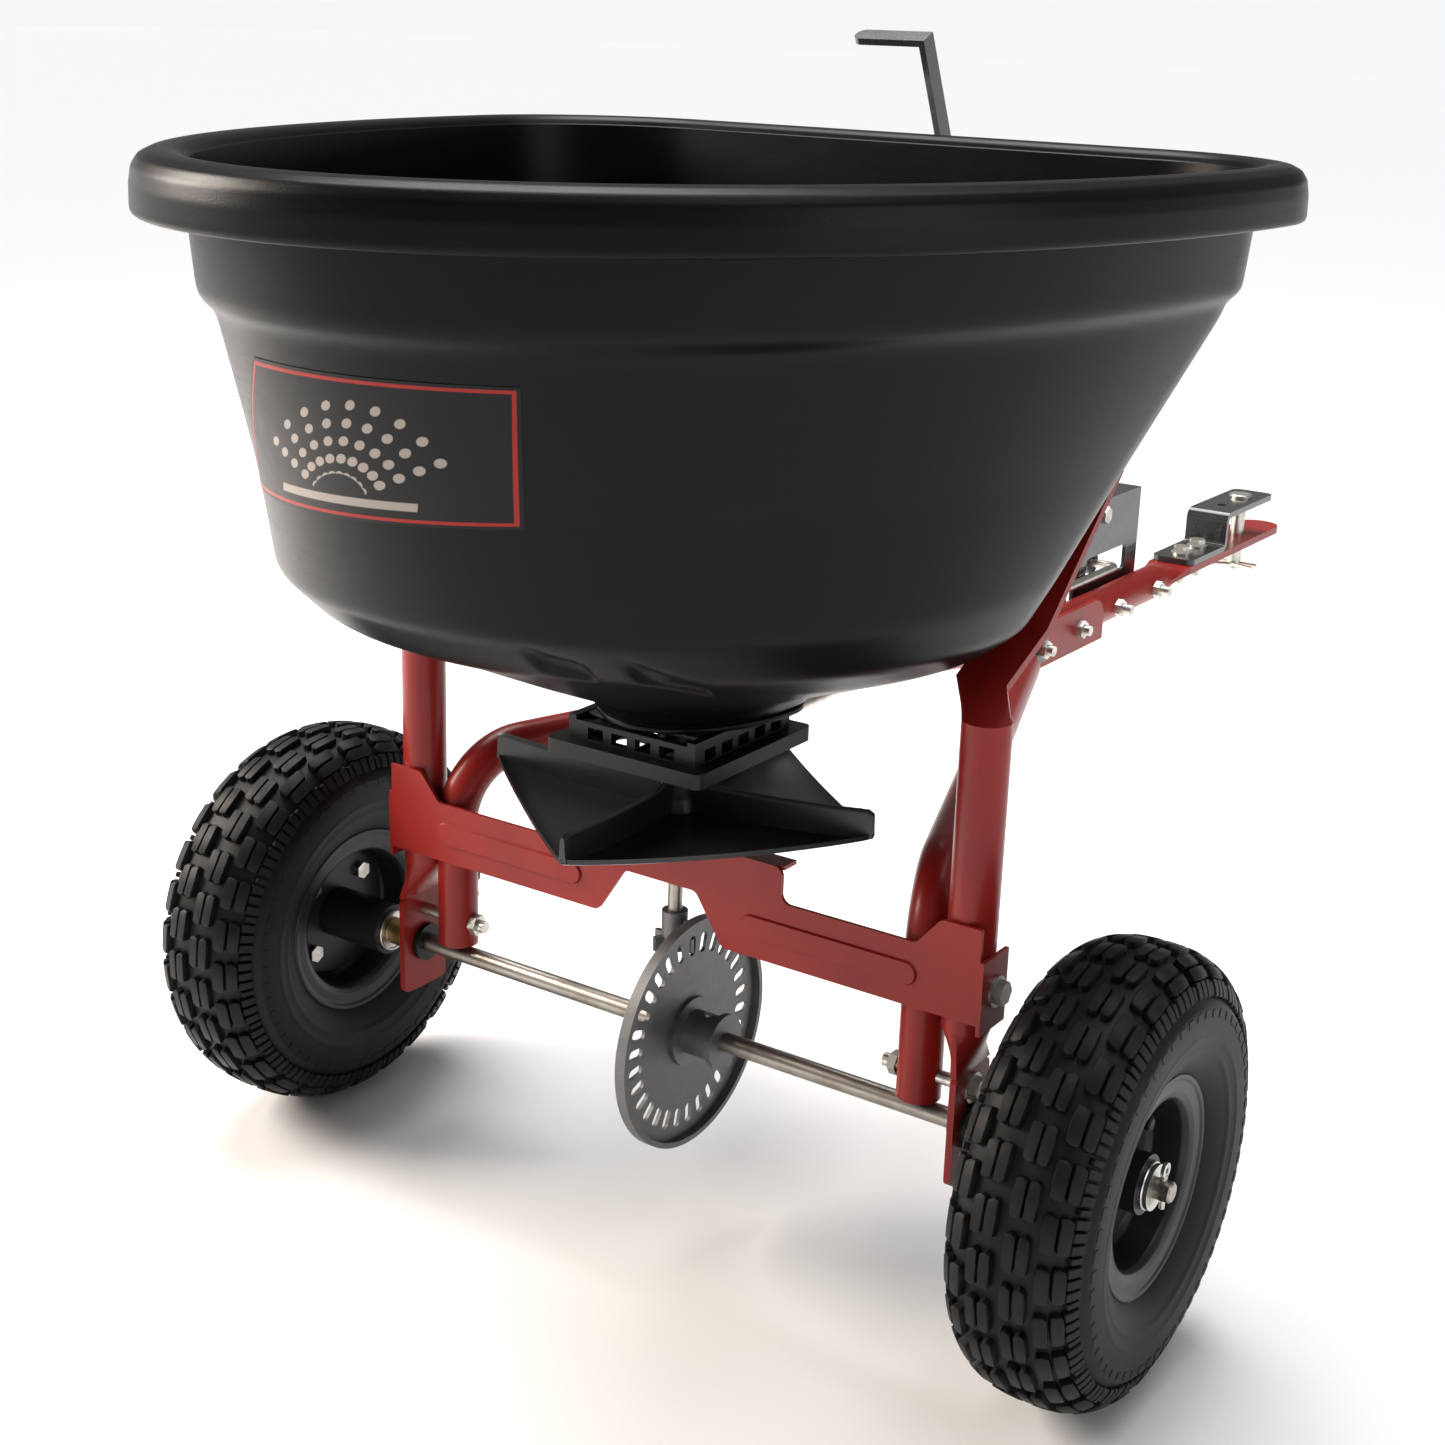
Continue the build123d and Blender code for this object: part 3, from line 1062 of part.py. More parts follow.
with BuildPart() as lever:
    with BuildSketch(Plane.YZ.offset(LEVER_X - LEVER_T / 2)):
        with BuildLine():
            eye = (HOOK_Y, ROD_Z)
            FilletPolyline(eye, (PIVOT_Y, PIVOT_Z), LEVER_KNEE, LEVER_TOP, radius=12)
        trace(line_width=LEVER_W)
        with Locations((PIVOT_Y, PIVOT_Z)):
            Circle(LEVER_W * 0.75)
        with Locations(eye):
            Circle(LEVER_W * 0.75)
        with Locations((PIVOT_Y, PIVOT_Z)):
            Circle(PIVOT_R + RUN, mode=Mode.SUBTRACT)
        with Locations(eye):
            SlotOverall(
                2 * (ROD_R + SLOT_REACH + 1), 2 * ROD_R + 1.2, rotation=degrees(ROD_LEAN) - 90,
                mode=Mode.SUBTRACT,
            )
    extrude(amount=LEVER_T)
    upward = Vector(0, LEVER_TOP[0] - LEVER_KNEE[0], LEVER_TOP[1] - LEVER_KNEE[1]).normalized()
    grip_plane = Plane(
        origin=Vector(LEVER_X, *LEVER_TOP) - upward * (LEVER_T / 2), x_dir=(1, 0, 0), z_dir=upward
    )
    with BuildSketch(grip_plane) as handle:
        with Locations(((LEVER_T - HANDLE_LEN) / 2, 0)):
            Rectangle(HANDLE_LEN, LEVER_W)
        fillet(handle.vertices().group_by(Axis.X)[0], radius=LEVER_W / 2 - 0.5)
    extrude(amount=LEVER_T)
lever.part.label = "flow_lever"
export_step(lever.part, "parts/flow_lever.step")

with BuildPart() as pivot_bolt:
    with BuildSketch(Plane((BRACKET_X + BRACKET_T, PIVOT_Y, PIVOT_Z), z_dir=(1, 0, 0))):
        RegularPolygon(HEX_R, 6)
    extrude(amount=HEX_H)
    with BuildSketch(Plane((BRACKET_X + BRACKET_T, PIVOT_Y, PIVOT_Z), z_dir=(-1, 0, 0))):
        Circle(PIVOT_R)
    extrude(amount=BRACKET_X + BRACKET_T - LEVER_X + LEVER_T / 2 + GAP + HEX_H + 3)
    with BuildSketch(Plane((LEVER_X - LEVER_T / 2 - GAP, PIVOT_Y, PIVOT_Z), z_dir=(-1, 0, 0))):
        RegularPolygon(HEX_R, 6)
    extrude(amount=HEX_H)
pivot_bolt.part.label = "lever_pivot_bolt"
export_step(pivot_bolt.part, "parts/lever_pivot_bolt.step")

with BuildPart() as pivot_spacer:
    with BuildSketch(Plane((BRACKET_X, PIVOT_Y, PIVOT_Z), z_dir=(-1, 0, 0))):
        Circle(PIVOT_R + 4)
        Circle(PIVOT_R, mode=Mode.SUBTRACT)
    extrude(amount=BRACKET_X - LEVER_X - LEVER_T / 2 - GAP)
pivot_spacer.part.label = "lever_spacer"
export_step(pivot_spacer.part, "parts/lever_spacer.step")

# ---- Hopper braces and frame bolts ------------------------------------------------
# A flat strap on each side ties the top of the post down to the back of the tongue.

BRACE_T = 3.0
BRACE_W = 18.0
BRACE_X = STRAP_X + STRAP_T / 2 + 0.1 + BRACE_T / 2

for name, side in SIDES.items():
    low = Vector(BRACE_X * side, TONGUE_BOLT_Y[0], TONGUE_Z + 19)
    high = Vector((STRIP_X - 22) * side, STRIP_BOLT_Y, STRIP_BOLT_Z)
    high = high + STRIP_OUT * (STRIP_T / 2 + 0.1 + BRACE_T / 2)
    along = (high - low).normalized()
    with BuildPart() as brace:
        with BuildSketch(Plane.YZ.offset((BRACE_X - BRACE_T / 2) * side)):
            with Locations((TONGUE_BOLT_Y[0], TONGUE_Z + 7)):
                Rectangle(BRACE_W, 36)
            with Locations((TONGUE_BOLT_Y[0], TONGUE_Z)):
                Circle(BOLT_R + 0.2, mode=Mode.SUBTRACT)
        extrude(amount=BRACE_T * side)
        level = Vector(0, 0, 1).cross(along)
        with BuildSketch(Plane(origin=low, x_dir=level, z_dir=along)):
            Rectangle(BRACE_T, BRACE_W)
        extrude(amount=(high - low).length)
        with BuildSketch(strip_plane(STRIP_X * side, STRIP_T / 2 + 0.1)):
            with Locations((-9 * side, 0)):
                Rectangle(38, 22)
            Circle(BOLT_R + 0.2, mode=Mode.SUBTRACT)
        extrude(amount=BRACE_T)
    brace.part.label = f"hopper_brace_{name}"
    export_step(brace.part, f"parts/hopper_brace_{name}.step")

with BuildPart() as hopper_screws:
    for side in SIDES.values():
        add(hex_bolt(strip_plane(STRIP_X * side, STRIP_T / 2 + 0.1 + BRACE_T), 20))
hopper_screws.part.label = "hopper_screws"
export_step(hopper_screws.part, "parts/hopper_screws.step")

with BuildPart() as tongue_bolts:
    stacks = [BRACE_X + BRACE_T / 2, STRAP_X + STRAP_T / 2]
    for y, out in zip(TONGUE_BOLT_Y, stacks):
        add(hex_bolt(Plane((-out, y, TONGUE_Z), z_dir=(-1, 0, 0)), 2 * out + HEX_H + 5))
        add(hex_nut(Plane((out, y, TONGUE_Z), z_dir=(1, 0, 0))))
tongue_bolts.part.label = "tongue_bolts"
export_step(tongue_bolts.part, "parts/tongue_bolts.step")

with BuildPart() as bracket_bolts:
    for y in BRACKET_BOLT_Y:
        add(hex_bolt(Plane((BRACKET_X, y, TONGUE_Z), z_dir=(-1, 0, 0)), TONGUE_R - BRACKET_X + HEX_H + 8))
        add(hex_nut(Plane((TONGUE_R + 0.1, y, TONGUE_Z), z_dir=(1, 0, 0))))
bracket_bolts.part.label = "bracket_bolts"
export_step(bracket_bolts.part, "parts/bracket_bolts.step")

with BuildPart() as post_bolts:
    nut_x = INNER_X - INNER_R - 0.1 - HEX_H
    for side in SIDES.values():
        for z, head_x in (
            (TUBE_BOLT_Z, POST_PLATE_X + POST_PLATE_T / 2 + 0.1), (CROSS_BOLT_Z, CROSS_HALF + CROSS_T + 0.1)
        ):
            add(hex_bolt(across(head_x, 0, z, side), head_x - nut_x + 5))
            add(hex_nut(across(nut_x, 0, z, side)))
post_bolts.part.label = "post_bolts"
export_step(post_bolts.part, "parts/post_bolts.step")
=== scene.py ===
from math import cos, pi, radians, sin

import bmesh
import bpy
import numpy as np
from mathutils import Matrix, Vector


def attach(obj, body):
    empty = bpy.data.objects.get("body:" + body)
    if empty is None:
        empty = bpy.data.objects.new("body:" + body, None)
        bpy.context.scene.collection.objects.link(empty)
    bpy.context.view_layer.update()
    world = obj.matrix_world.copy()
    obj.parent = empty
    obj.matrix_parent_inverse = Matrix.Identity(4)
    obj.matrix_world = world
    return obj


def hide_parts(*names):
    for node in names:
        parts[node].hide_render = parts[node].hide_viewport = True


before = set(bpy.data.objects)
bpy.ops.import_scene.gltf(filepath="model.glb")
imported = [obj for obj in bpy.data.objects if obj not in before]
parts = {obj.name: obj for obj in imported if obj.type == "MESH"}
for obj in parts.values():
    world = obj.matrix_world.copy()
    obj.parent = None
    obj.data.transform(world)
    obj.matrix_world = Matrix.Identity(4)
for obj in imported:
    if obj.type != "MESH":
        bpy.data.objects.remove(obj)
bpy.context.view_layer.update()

# ---- Hopper -----------------------------------------------------------------
# A D-shaped tub, rotationally moulded in black polyethylene with one even wall. A raised
# band stands under the rolled lip, and the bowl runs in to a small outlet neck.


class Wire:
    """A shader socket in one material. Arithmetic on it adds Math nodes, and node() any other."""

    def __init__(self, tree, socket=None):
        self.tree, self.socket = tree, socket

    def node(self, kind, settings, values, output=0):
        """Adds a node: its settings first, then the values or wires of its sockets."""
        made = self.tree.nodes.new("ShaderNode" + kind)
        for key, value in settings.items():
            setattr(made, key, value)
        for key, value in values.items():
            if isinstance(value, Wire):
                self.tree.links.new(value.socket, made.inputs[key])
            else:
                made.inputs[key].default_value = value
        return Wire(self.tree, made.outputs[output] if len(made.outputs) else None)

    def math(self, operation, *values):
        return self.node("Math", {"operation": operation}, dict(enumerate(values)))

    def own(self, operation, *others):
        """Math that starts from this wire, such as SQRT, FRACT or MINIMUM."""
        return self.math(operation, self, *others)

    def __add__(self, other):
        return self.math("ADD", self, other)

    def __radd__(self, other):
        return self.math("ADD", other, self)

    def __sub__(self, other):
        return self.math("SUBTRACT", self, other)

    def __rsub__(self, other):
        return self.math("SUBTRACT", other, self)

    def __mul__(self, other):
        return self.math("MULTIPLY", self, other)

    def __rmul__(self, other):
        return self.math("MULTIPLY", other, self)

    def step(self, low, high):
        """0 below low, 1 above high, smooth between. low above high turns it round."""
        ends = {"From Min": low, "From Max": high}
        return self.node("MapRange", {"interpolation_type": "SMOOTHSTEP"}, {"Value": self, **ends})

    def tint(self, dark, light):
        """Colour that goes from dark to light as this wire goes from 0 to 1."""
        return self.node("Mix", {"data_type": "RGBA"}, {0: self, 6: dark, 7: light}, 2)

    def noise(self, scale, detail=3.0, rough=0.5):
        """Noise on this wire's coordinates, of about 1/scale metres."""
        sockets = {"Vector": self, "Scale": scale, "Detail": detail, "Roughness": rough}
        return self.node("TexNoise", {}, sockets)

    def bump(self, height_mm, strength=1.0):
        """Normal for this wire as a height, 0 to 1, of so many millimetres."""
        sockets = {"Height": self, "Strength": strength, "Distance": height_mm / 1000}
        return self.node("Bump", {}, sockets)


def start_material(name):
    """An empty material, as the wire that its nodes are added through."""
    material = bpy.data.materials.new(name)
    material.use_nodes = True
    material.node_tree.nodes.clear()
    return material, Wire(material.node_tree)


def end_material(wire, sockets):
    """The surface shader and the output, with values or wires on the shader's sockets."""
    shader = wire.node("BsdfPrincipled", {}, sockets)
    wire.node("OutputMaterial", {}, {"Surface": shader})


def rgb(r, g, b):
    return (r, g, b, 1.0)


def piece_from(name, points, faces, material, body, sharp=40):
    """A closed mesh piece from points in millimetres and their faces."""
    mesh = bpy.data.meshes.new(name)
    mesh.from_pydata((np.asarray(points) / 1000).tolist(), [], np.asarray(faces).tolist())
    skin = bmesh.new()
    skin.from_mesh(mesh)
    bmesh.ops.remove_doubles(skin, verts=skin.verts, dist=1e-6)
    bmesh.ops.dissolve_degenerate(skin, edges=skin.edges, dist=1e-7)
    bmesh.ops.recalc_face_normals(skin, faces=skin.faces)
    skin.to_mesh(mesh)
    skin.free()
    mesh.shade_smooth()
    mesh.set_sharp_from_angle(angle=radians(sharp))
    mesh.materials.append(material)
    piece = bpy.data.objects.new(name, mesh)
    bpy.context.scene.collection.objects.link(piece)
    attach(piece, body)
    return piece


def grid_faces(rows, cols, wrap_rows=False, wrap_cols=False, first=0):
    """Four-cornered faces of a grid of points that are numbered row by row."""
    r = np.arange(rows if wrap_rows else rows - 1)
    c = np.arange(cols if wrap_cols else cols - 1)
    r0, c0 = np.meshgrid(r, c, indexing="ij")
    r1, c1 = (r0 + 1) % rows, (c0 + 1) % cols
    quads = [r0 * cols + c0, r0 * cols + c1, r1 * cols + c1, r1 * cols + c0]
    return np.stack(quads, -1).reshape(-1, 4) + first


def even_path(corners, spacing, soften=0.0):
    """Points at an even spacing along straight runs, averaged over soften either side."""
    corners = np.asarray(corners, float)
    runs = np.hypot(*(np.diff(corners[:, :2], axis=0).T))
    along = np.concatenate([[0], np.cumsum(runs)])
    at = np.linspace(0, along[-1], max(int(along[-1] / spacing), 2) + 1)
    path = np.stack([np.interp(at, along, column) for column in corners.T], 1)
    if soften:
        reach = int(3 * soften / spacing) + 1
        weights = np.exp(-0.5 * (np.arange(-reach, reach + 1) * spacing / soften) ** 2)
        weights /= weights.sum()
        ends = np.concatenate([[path[0]] * reach, path, [path[-1]] * reach])
        ends[:reach] = 2 * path[0] - path[reach:0:-1]
        ends[-reach:] = 2 * path[-1] - path[-2 : -reach - 2 : -1]
        path = np.stack([np.convolve(column, weights, "valid") for column in ends.T], 1)
    return path


def d_rings(sizes, grow, share):
    """D-shaped rings at shares of a turn: half an ellipse behind up to 0.6, then a quarter
    circle, the flat front and a quarter circle. sizes holds (z, half width, front, back,
    corner radius) for each ring."""
    z, half, front, back, corner = np.asarray(sizes, float).T[:, :, None]
    grow = np.broadcast_to(grow, z.shape[:1])[:, None]
    share = np.atleast_2d(share)
    side_y = front - corner
    oval = pi + pi * np.clip(share / 0.6, 0, 1)
    right = pi / 2 * np.clip((share - 0.6) / 0.12, 0, 1)
    left = pi / 2 + pi / 2 * np.clip((share - 0.88) / 0.12, 0, 1)
    flat = np.clip((share - 0.72) / 0.16, 0, 1)
    reach = corner + grow
    x = np.where(share < 0.6, (half + grow) * np.cos(oval), 0)
    y = np.where(share < 0.6, side_y + (side_y - back + grow) * np.sin(oval), 0)
    x = np.where((share >= 0.6) & (share < 0.72), half - corner + reach * np.cos(right), x)
    y = np.where((share >= 0.6) & (share < 0.72), side_y + reach * np.sin(right), y)
    x = np.where((share >= 0.72) & (share < 0.88), (half - corner) * (1 - 2 * flat), x)
    y = np.where((share >= 0.72) & (share < 0.88), front + grow, y)
    x = np.where(share >= 0.88, corner - half + reach * np.cos(left), x)
    y = np.where(share >= 0.88, side_y + reach * np.sin(left), y)
    return np.stack([x, y, z + 0 * x], -1)


tub_top = (262.5, 236.5, -306.5, 93)
tub_walls = [
    (650, *tub_top), (587, 257, 232.6, -300.5, 90), (581, 249.5, 226.5, -292.5, 85),
    (574, 248, 225, -290, 84), (500, 229.5, 161, -265, 84), (440, 217, 101, -247, 80),
    (415, 207, 80, -216, 70), (399, 187, 67, -174, 62), (372, 119, 62, -113, 44),
    (350, 67, 60, -60, 26), (335, 56.5, 57.5, -47.5, 22),
]
wall_mm = 4.0
around = np.concatenate(
    [
        np.linspace(0, 0.33, 62, endpoint=False), np.linspace(0.33, 0.45, 64, endpoint=False),
        np.linspace(0.45, 1, 110, endpoint=False),
    ]
)
soft_walls = even_path(tub_walls, 2.6, 3.2)
above_flange = soft_walls[soft_walls[:, 0] > 339.5]
neck = (56.5, 57.5, -47.5, 22)
flange_z = [338.9, 338.4, 337.8, 335.8, 335.2, 335.0]
flange_grow = [0.4, 2.6, 2.9, 2.9, 2.5, 1.8]
flange = np.column_stack([flange_z, np.tile(neck, (len(flange_z), 1))])
outer_grow = np.concatenate([np.zeros(len(above_flange)), flange_grow])
outer = d_rings(np.concatenate([above_flange, flange]), outer_grow, around)
inner = d_rings(soft_walls[soft_walls[:, 0] > 339][::2], -wall_mm, around)

# Two hand pockets are pressed into the bowl's lower bend. Each follows the bend as it falls.
for shell in (outer, inner):
    for middle, half_share, height, fall in ((0.372, 0.008, 424.0, 380.0), (0.416, 0.011, 414.0, 640.0)):
        off = around - middle
        along = np.clip(np.abs(off) - half_share, 0, None) / 0.0034
        up = np.clip(np.abs(shell[..., 2] - height + fall * off) - 3.0, 0, None) / 4.2
        press = 6.5 * np.exp(-(along**2 + up**2))
        plan = np.hypot(shell[..., 0], shell[..., 1]) + 1e-9
        shell[..., :2] *= (1 - press / plan)[..., None]

roll = np.array(
    [
        (650.0, 3.0), (648.5, 17.0), (646.0, 20.0), (628.5, 20.5), (626.4, 21.6), (626.0, 23.0),
        (626.8, 24.4), (629.0, 24.9), (640.0, 24.6), (648.0, 23.2), (652.6, 20.0), (655.2, 14.5),
        (655.9, 8.0), (655.2, 2.0), (653.0, -1.6), (650.0, -3.4),
    ]
)
roll = even_path(roll, 1.2, 0.7)
lip = d_rings(np.column_stack([roll[:, 0], np.tile(tub_top, (len(roll), 1))]), roll[:, 1], around)
tub = np.concatenate([outer[::-1], lip, inner])

hopper_black, wire = start_material("hopper_polyethylene")
place = wire.node("TexCoord", {}, {}, "Object")
grain = place.noise(1400, 2)
clouds = place.noise(7, 4, 0.6)
scuffs = place.node("Mapping", {}, {"Vector": place, "Scale": (1.0, 1.0, 14.0)}).noise(26, 5, 0.7)
dust = clouds.step(0.45, 0.8) * 0.35 + scuffs.step(0.58, 0.8) * 0.25
end_material(
    wire,
    {
        "Base Color": dust.tint(rgb(0.0016, 0.0018, 0.0024), rgb(0.0062, 0.0066, 0.0078)),
        "Roughness": 0.27 + 0.1 * clouds + 0.1 * scuffs.step(0.5, 0.8),
        "Specular IOR Level": 0.13,
        "Normal": (grain * 0.6 + clouds).bump(0.22, 0.6),
    },
)
shell = piece_from(
    "hopper_shell", tub.reshape(-1, 3), grid_faces(*tub.shape[:2], wrap_rows=True, wrap_cols=True),
    hopper_black, "frame", 60,
)
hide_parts("hopper")


# ---- Outlet floor -------------------------------------------------------------
# The floor of the neck is moulded with the tub. It has two round ports, one on each side of
# the shaft, and each port's edge is turned square.


def port_floor(side):
    """Half of the neck's floor as a ring of four rows round its port: the top from the
    neck's wall in to the port, the port's wall, and the underside back out."""
    port = np.array([22.0 * side, -20.0])
    rim = d_rings([(339, 58, 58.5, -49.5, 22)], -0.5, np.linspace(0, 1, 720, endpoint=False))[0, :, :2]
    rim = rim[rim[:, 0] * side >= 0]
    middle = np.column_stack([np.zeros(120), np.linspace(-49, 58, 120)])
    edge = np.concatenate([rim, middle]) - port
    angle = np.arctan2(edge[:, 1], edge[:, 0])
    order = np.argsort(angle)
    aim = np.linspace(-pi, pi, 96, endpoint=False)
    reach = np.interp(aim, angle[order], np.hypot(*edge.T)[order], period=2 * pi)
    radii = [reach, 12 + 0 * aim, 11 + 0 * aim, 11 + 0 * aim, reach]
    heights = np.array([339, 339, 338.2, 335.2, 335.2])
    radius = np.stack(radii)
    x, y = port[0] + radius * np.cos(aim), port[1] + radius * np.sin(aim)
    return np.stack([x, y, heights[:, None] + 0 * radius], -1)


halves = [port_floor(side) for side in (-1, 1)]
floor_faces = np.concatenate(
    [grid_faces(5, 96, wrap_rows=True, wrap_cols=True, first=5 * 96 * i) for i in range(2)]
)
piece_from(
    "hopper_outlet_floor", np.concatenate([h.reshape(-1, 3) for h in halves]), floor_faces,
    hopper_black, "frame",
)

# ---- Label -------------------------------------------------------------------
# A printed vinyl label lies on the left side of the tub. It has a thin red border and a
# plain picture of a fan of thrown grains.

label_rows, label_cols = 40, 90
v, u = np.meshgrid(np.linspace(1, 0, label_rows), np.linspace(0, 1, label_cols), indexing="ij")
low_edge = 486 + 12 * u
label_z = (low_edge + (566 - low_edge) * v).ravel()
left_edge, right_edge = 0.2 + 0.06 * v, 0.37 + 0.003 * v
label_share = (left_edge + (right_edge - left_edge) * u).reshape(-1, 1)
sizes = np.stack([np.interp(label_z, soft_walls[::-1, 0], c) for c in soft_walls[::-1].T], 1)
label_skins = [d_rings(sizes, lift, label_share).reshape(-1, 3) for lift in (0.45, -0.4)]
label_points = np.concatenate(label_skins)
count = label_rows * label_cols
border = np.concatenate(
    [
        np.arange(label_cols), np.arange(1, label_rows) * label_cols + label_cols - 1,
        count - 2 - np.arange(label_cols - 1), np.arange(label_rows - 2, 0, -1) * label_cols,
    ]
)
around = np.roll(border, -1)
label_faces = np.concatenate(
    [
        grid_faces(label_rows, label_cols), grid_faces(label_rows, label_cols, first=count),
        np.stack([border, around, around + count, border + count], -1),
    ]
)

label_print, wire = start_material("printed_label")
print_map = wire.node("Attribute", {"attribute_name": "label_place"}, {}, "Vector")
across = print_map.node("SeparateXYZ", {}, {"Vector": print_map}, "X")
up = print_map.node("SeparateXYZ", {}, {"Vector": print_map}, "Y")
edge_gap = across.own("MINIMUM", 2.0 - across).own("MINIMUM", up.own("MINIMUM", 1.0 - up))
red_line = edge_gap.step(0.02, 0.026) * edge_gap.step(0.05, 0.044)
from_x, from_y = across - 1.0, up - 0.12
throw = (from_x * from_x + from_y * from_y).own("SQRT")
turn = from_x.own("ARCTAN2", from_y)
ring_place = (throw * 8.0).own("FRACT") - 0.5
spoke_place = (turn * 3.8 + 20.5).own("FRACT") - 0.5
grain_gap = (
    ring_place * ring_place + spoke_place * spoke_place * (throw * throw * 4.5)
).own("SQRT")
fan = throw.step(0.2, 0.21) * throw.step(0.76, 0.75) * turn.own("ABSOLUTE").step(1.2, 1.19)
grains = grain_gap.step(0.3, 0.25) * fan
deck = up.step(0.1, 0.11) * up.step(0.17, 0.16) * from_x.own("ABSOLUTE").step(0.5, 0.49)
pale = grains.own("MAXIMUM", deck)
worn = wire.node("TexCoord", {}, {}, "Object").noise(60, 4, 0.7)
ink = pale.tint(rgb(0.007, 0.007, 0.008), rgb(0.3, 0.26, 0.23))
colour = wire.node("Mix", {"data_type": "RGBA"}, {0: red_line, 6: ink, 7: rgb(0.3, 0.022, 0.016)}, 2)
end_material(
    wire,
    {
        "Base Color": colour,
        "Roughness": 0.34 + 0.12 * worn,
        "Specular IOR Level": 0.15,
        "Normal": worn.bump(0.08, 0.4),
    },
)
label = piece_from("hopper_label", label_points, label_faces, label_print, "frame", 60)
layer = label.data.attributes.new("label_place", "FLOAT_VECTOR", "POINT")
place_on_label = np.stack([2 * u, v, 0 * u], -1).reshape(-1, 3)
layer.data.foreach_set("vector", np.tile(place_on_label, (2, 1)).astype(np.float32).ravel())

# ---- Frame paint ---------------------------------------------------------------
# The frame's tubes, tongue and cross plate are welded and pressed steel in a red powder
# coat, with a slight orange peel and a few rubbed spots.

red_coat, wire = start_material("red_powder_coat")
place = wire.node("TexCoord", {}, {}, "Object")
peel = place.noise(700, 2)
shade = place.noise(11, 4)
rubs = place.noise(95, 6, 0.75)
worn = rubs.step(0.71, 0.76)
base = shade.step(0.3, 0.75).tint(rgb(0.2, 0.0095, 0.007), rgb(0.28, 0.015, 0.0105))
end_material(
    wire,
    {
        "Base Color": wire.node(
            "Mix", {"data_type": "RGBA"}, {0: worn, 6: base, 7: rgb(0.2, 0.045, 0.034)}, 2
        ),
        "Roughness": 0.3 + 0.1 * shade + 0.25 * worn,
        "Specular IOR Level": 0.22,
        "Coat Weight": 0.1 - 0.08 * worn,
        "Coat Roughness": 0.15,
        "Normal": peel.bump(0.1, 0.5),
    },
)
for name in (
    "outer_post_left", "outer_post_right", "inner_tube_left", "inner_tube_right",
    "rear_cross_plate", "tongue",
):
    parts[name].material_slots[0].material = red_coat

# ---- Black steel fittings --------------------------------------------------------
# The clevis, lever, bracket and hopper braces are bent steel strip in gloss black enamel.

black_enamel, wire = start_material("gloss_black_enamel")
place = wire.node("TexCoord", {}, {}, "Object")
smears = place.noise(38, 5, 0.65)
peel = place.noise(620, 2)
end_material(
    wire,
    {
        "Base Color": smears.tint(rgb(0.008, 0.008, 0.009), rgb(0.02, 0.02, 0.021)),
        "Roughness": 0.16 + 0.2 * smears,
        "Coat Weight": 0.5,
        "Coat Roughness": 0.08,
        "Normal": peel.bump(0.06, 0.4),
    },
)
for name in ("hitch_clevis", "flow_lever", "control_bracket", "hopper_brace_left", "hopper_brace_right"):
    parts[name].material_slots[0].material = black_enamel

# ---- Bolts, pins and rod -----------------------------------------------------------
# Bought-in fasteners and the control rod are steel with bright zinc plating, a little
# yellowed, and dull where a spanner or the weather has been at them.

zinc_plate, wire = start_material("bright_zinc")
place = wire.node("TexCoord", {}, {}, "Object")
stain = place.noise(140, 4, 0.6)
turned = place.node("Mapping", {}, {"Vector": place, "Scale": (1.0, 1.0, 0.2)}).noise(2600, 2)
end_material(
    wire,
    {
        "Base Color": stain.step(0.3, 0.8).tint(rgb(0.66, 0.65, 0.6), rgb(0.42, 0.4, 0.35)),
        "Metallic": 1.0,
        "Roughness": 0.24 + 0.22 * stain,
        "Normal": turned.bump(0.03, 0.4),
    },
)
for name in parts:
    if parts[name].material_slots[0].material.name.startswith("zinc"):
        parts[name].material_slots[0].material = zinc_plate

# ---- Axle, shaft and drive disc ------------------------------------------------------
# The axle and the vertical shaft are plain drawn steel bar, oiled and slightly browned. The
# disc is pressed from galvanised sheet, and its hub is turned and pinned to the axle.

bar_steel, wire = start_material("drawn_steel_bar")
place = wire.node("TexCoord", {}, {}, "Object")
drawn = place.node("Mapping", {}, {"Vector": place, "Scale": (0.03, 1.0, 1.0)}).noise(1500, 3)
brown = place.noise(48, 5, 0.7)
end_material(
    wire,
    {
        "Base Color": brown.step(0.4, 0.8).tint(rgb(0.34, 0.315, 0.285), rgb(0.2, 0.165, 0.13)),
        "Metallic": 1.0,
        "Roughness": 0.26 + 0.2 * brown,
        "Normal": drawn.bump(0.03, 0.5),
    },
)
for name in ("axle", "vertical_shaft", "agitator"):
    parts[name].material_slots[0].material = bar_steel

galvanised, wire = start_material("galvanised_sheet")
place = wire.node("TexCoord", {}, {}, "Object")
spangle = place.node("TexVoronoi", {}, {"Vector": place, "Scale": 150.0}, "Color")
spangle = spangle.node("SeparateColor", {}, {"Color": spangle}, "Red")
haze = place.noise(22, 5, 0.6)
end_material(
    wire,
    {
        "Base Color": (haze * 0.7 + spangle * 0.3).tint(rgb(0.1, 0.104, 0.115), rgb(0.23, 0.225, 0.22)),
        "Metallic": 0.85,
        "Roughness": 0.42 + 0.12 * spangle + 0.1 * haze,
        "Normal": place.noise(900, 2).bump(0.04, 0.4),
    },
)
for name in ("drive_disc", "disc_hub", "pinion", "gate_shutter"):
    parts[name].material_slots[0].material = galvanised

brass, wire = start_material("brass_spacer")
place = wire.node("TexCoord", {}, {}, "Object")
tarnish = place.noise(90, 4, 0.6)
end_material(
    wire,
    {
        "Base Color": tarnish.step(0.35, 0.8).tint(rgb(0.62, 0.43, 0.16), rgb(0.34, 0.22, 0.09)),
        "Metallic": 1.0,
        "Roughness": 0.22 + 0.2 * tarnish,
    },
)
for name in ("axle_spacer_left", "axle_spacer_right"):
    parts[name].material_slots[0].material = brass

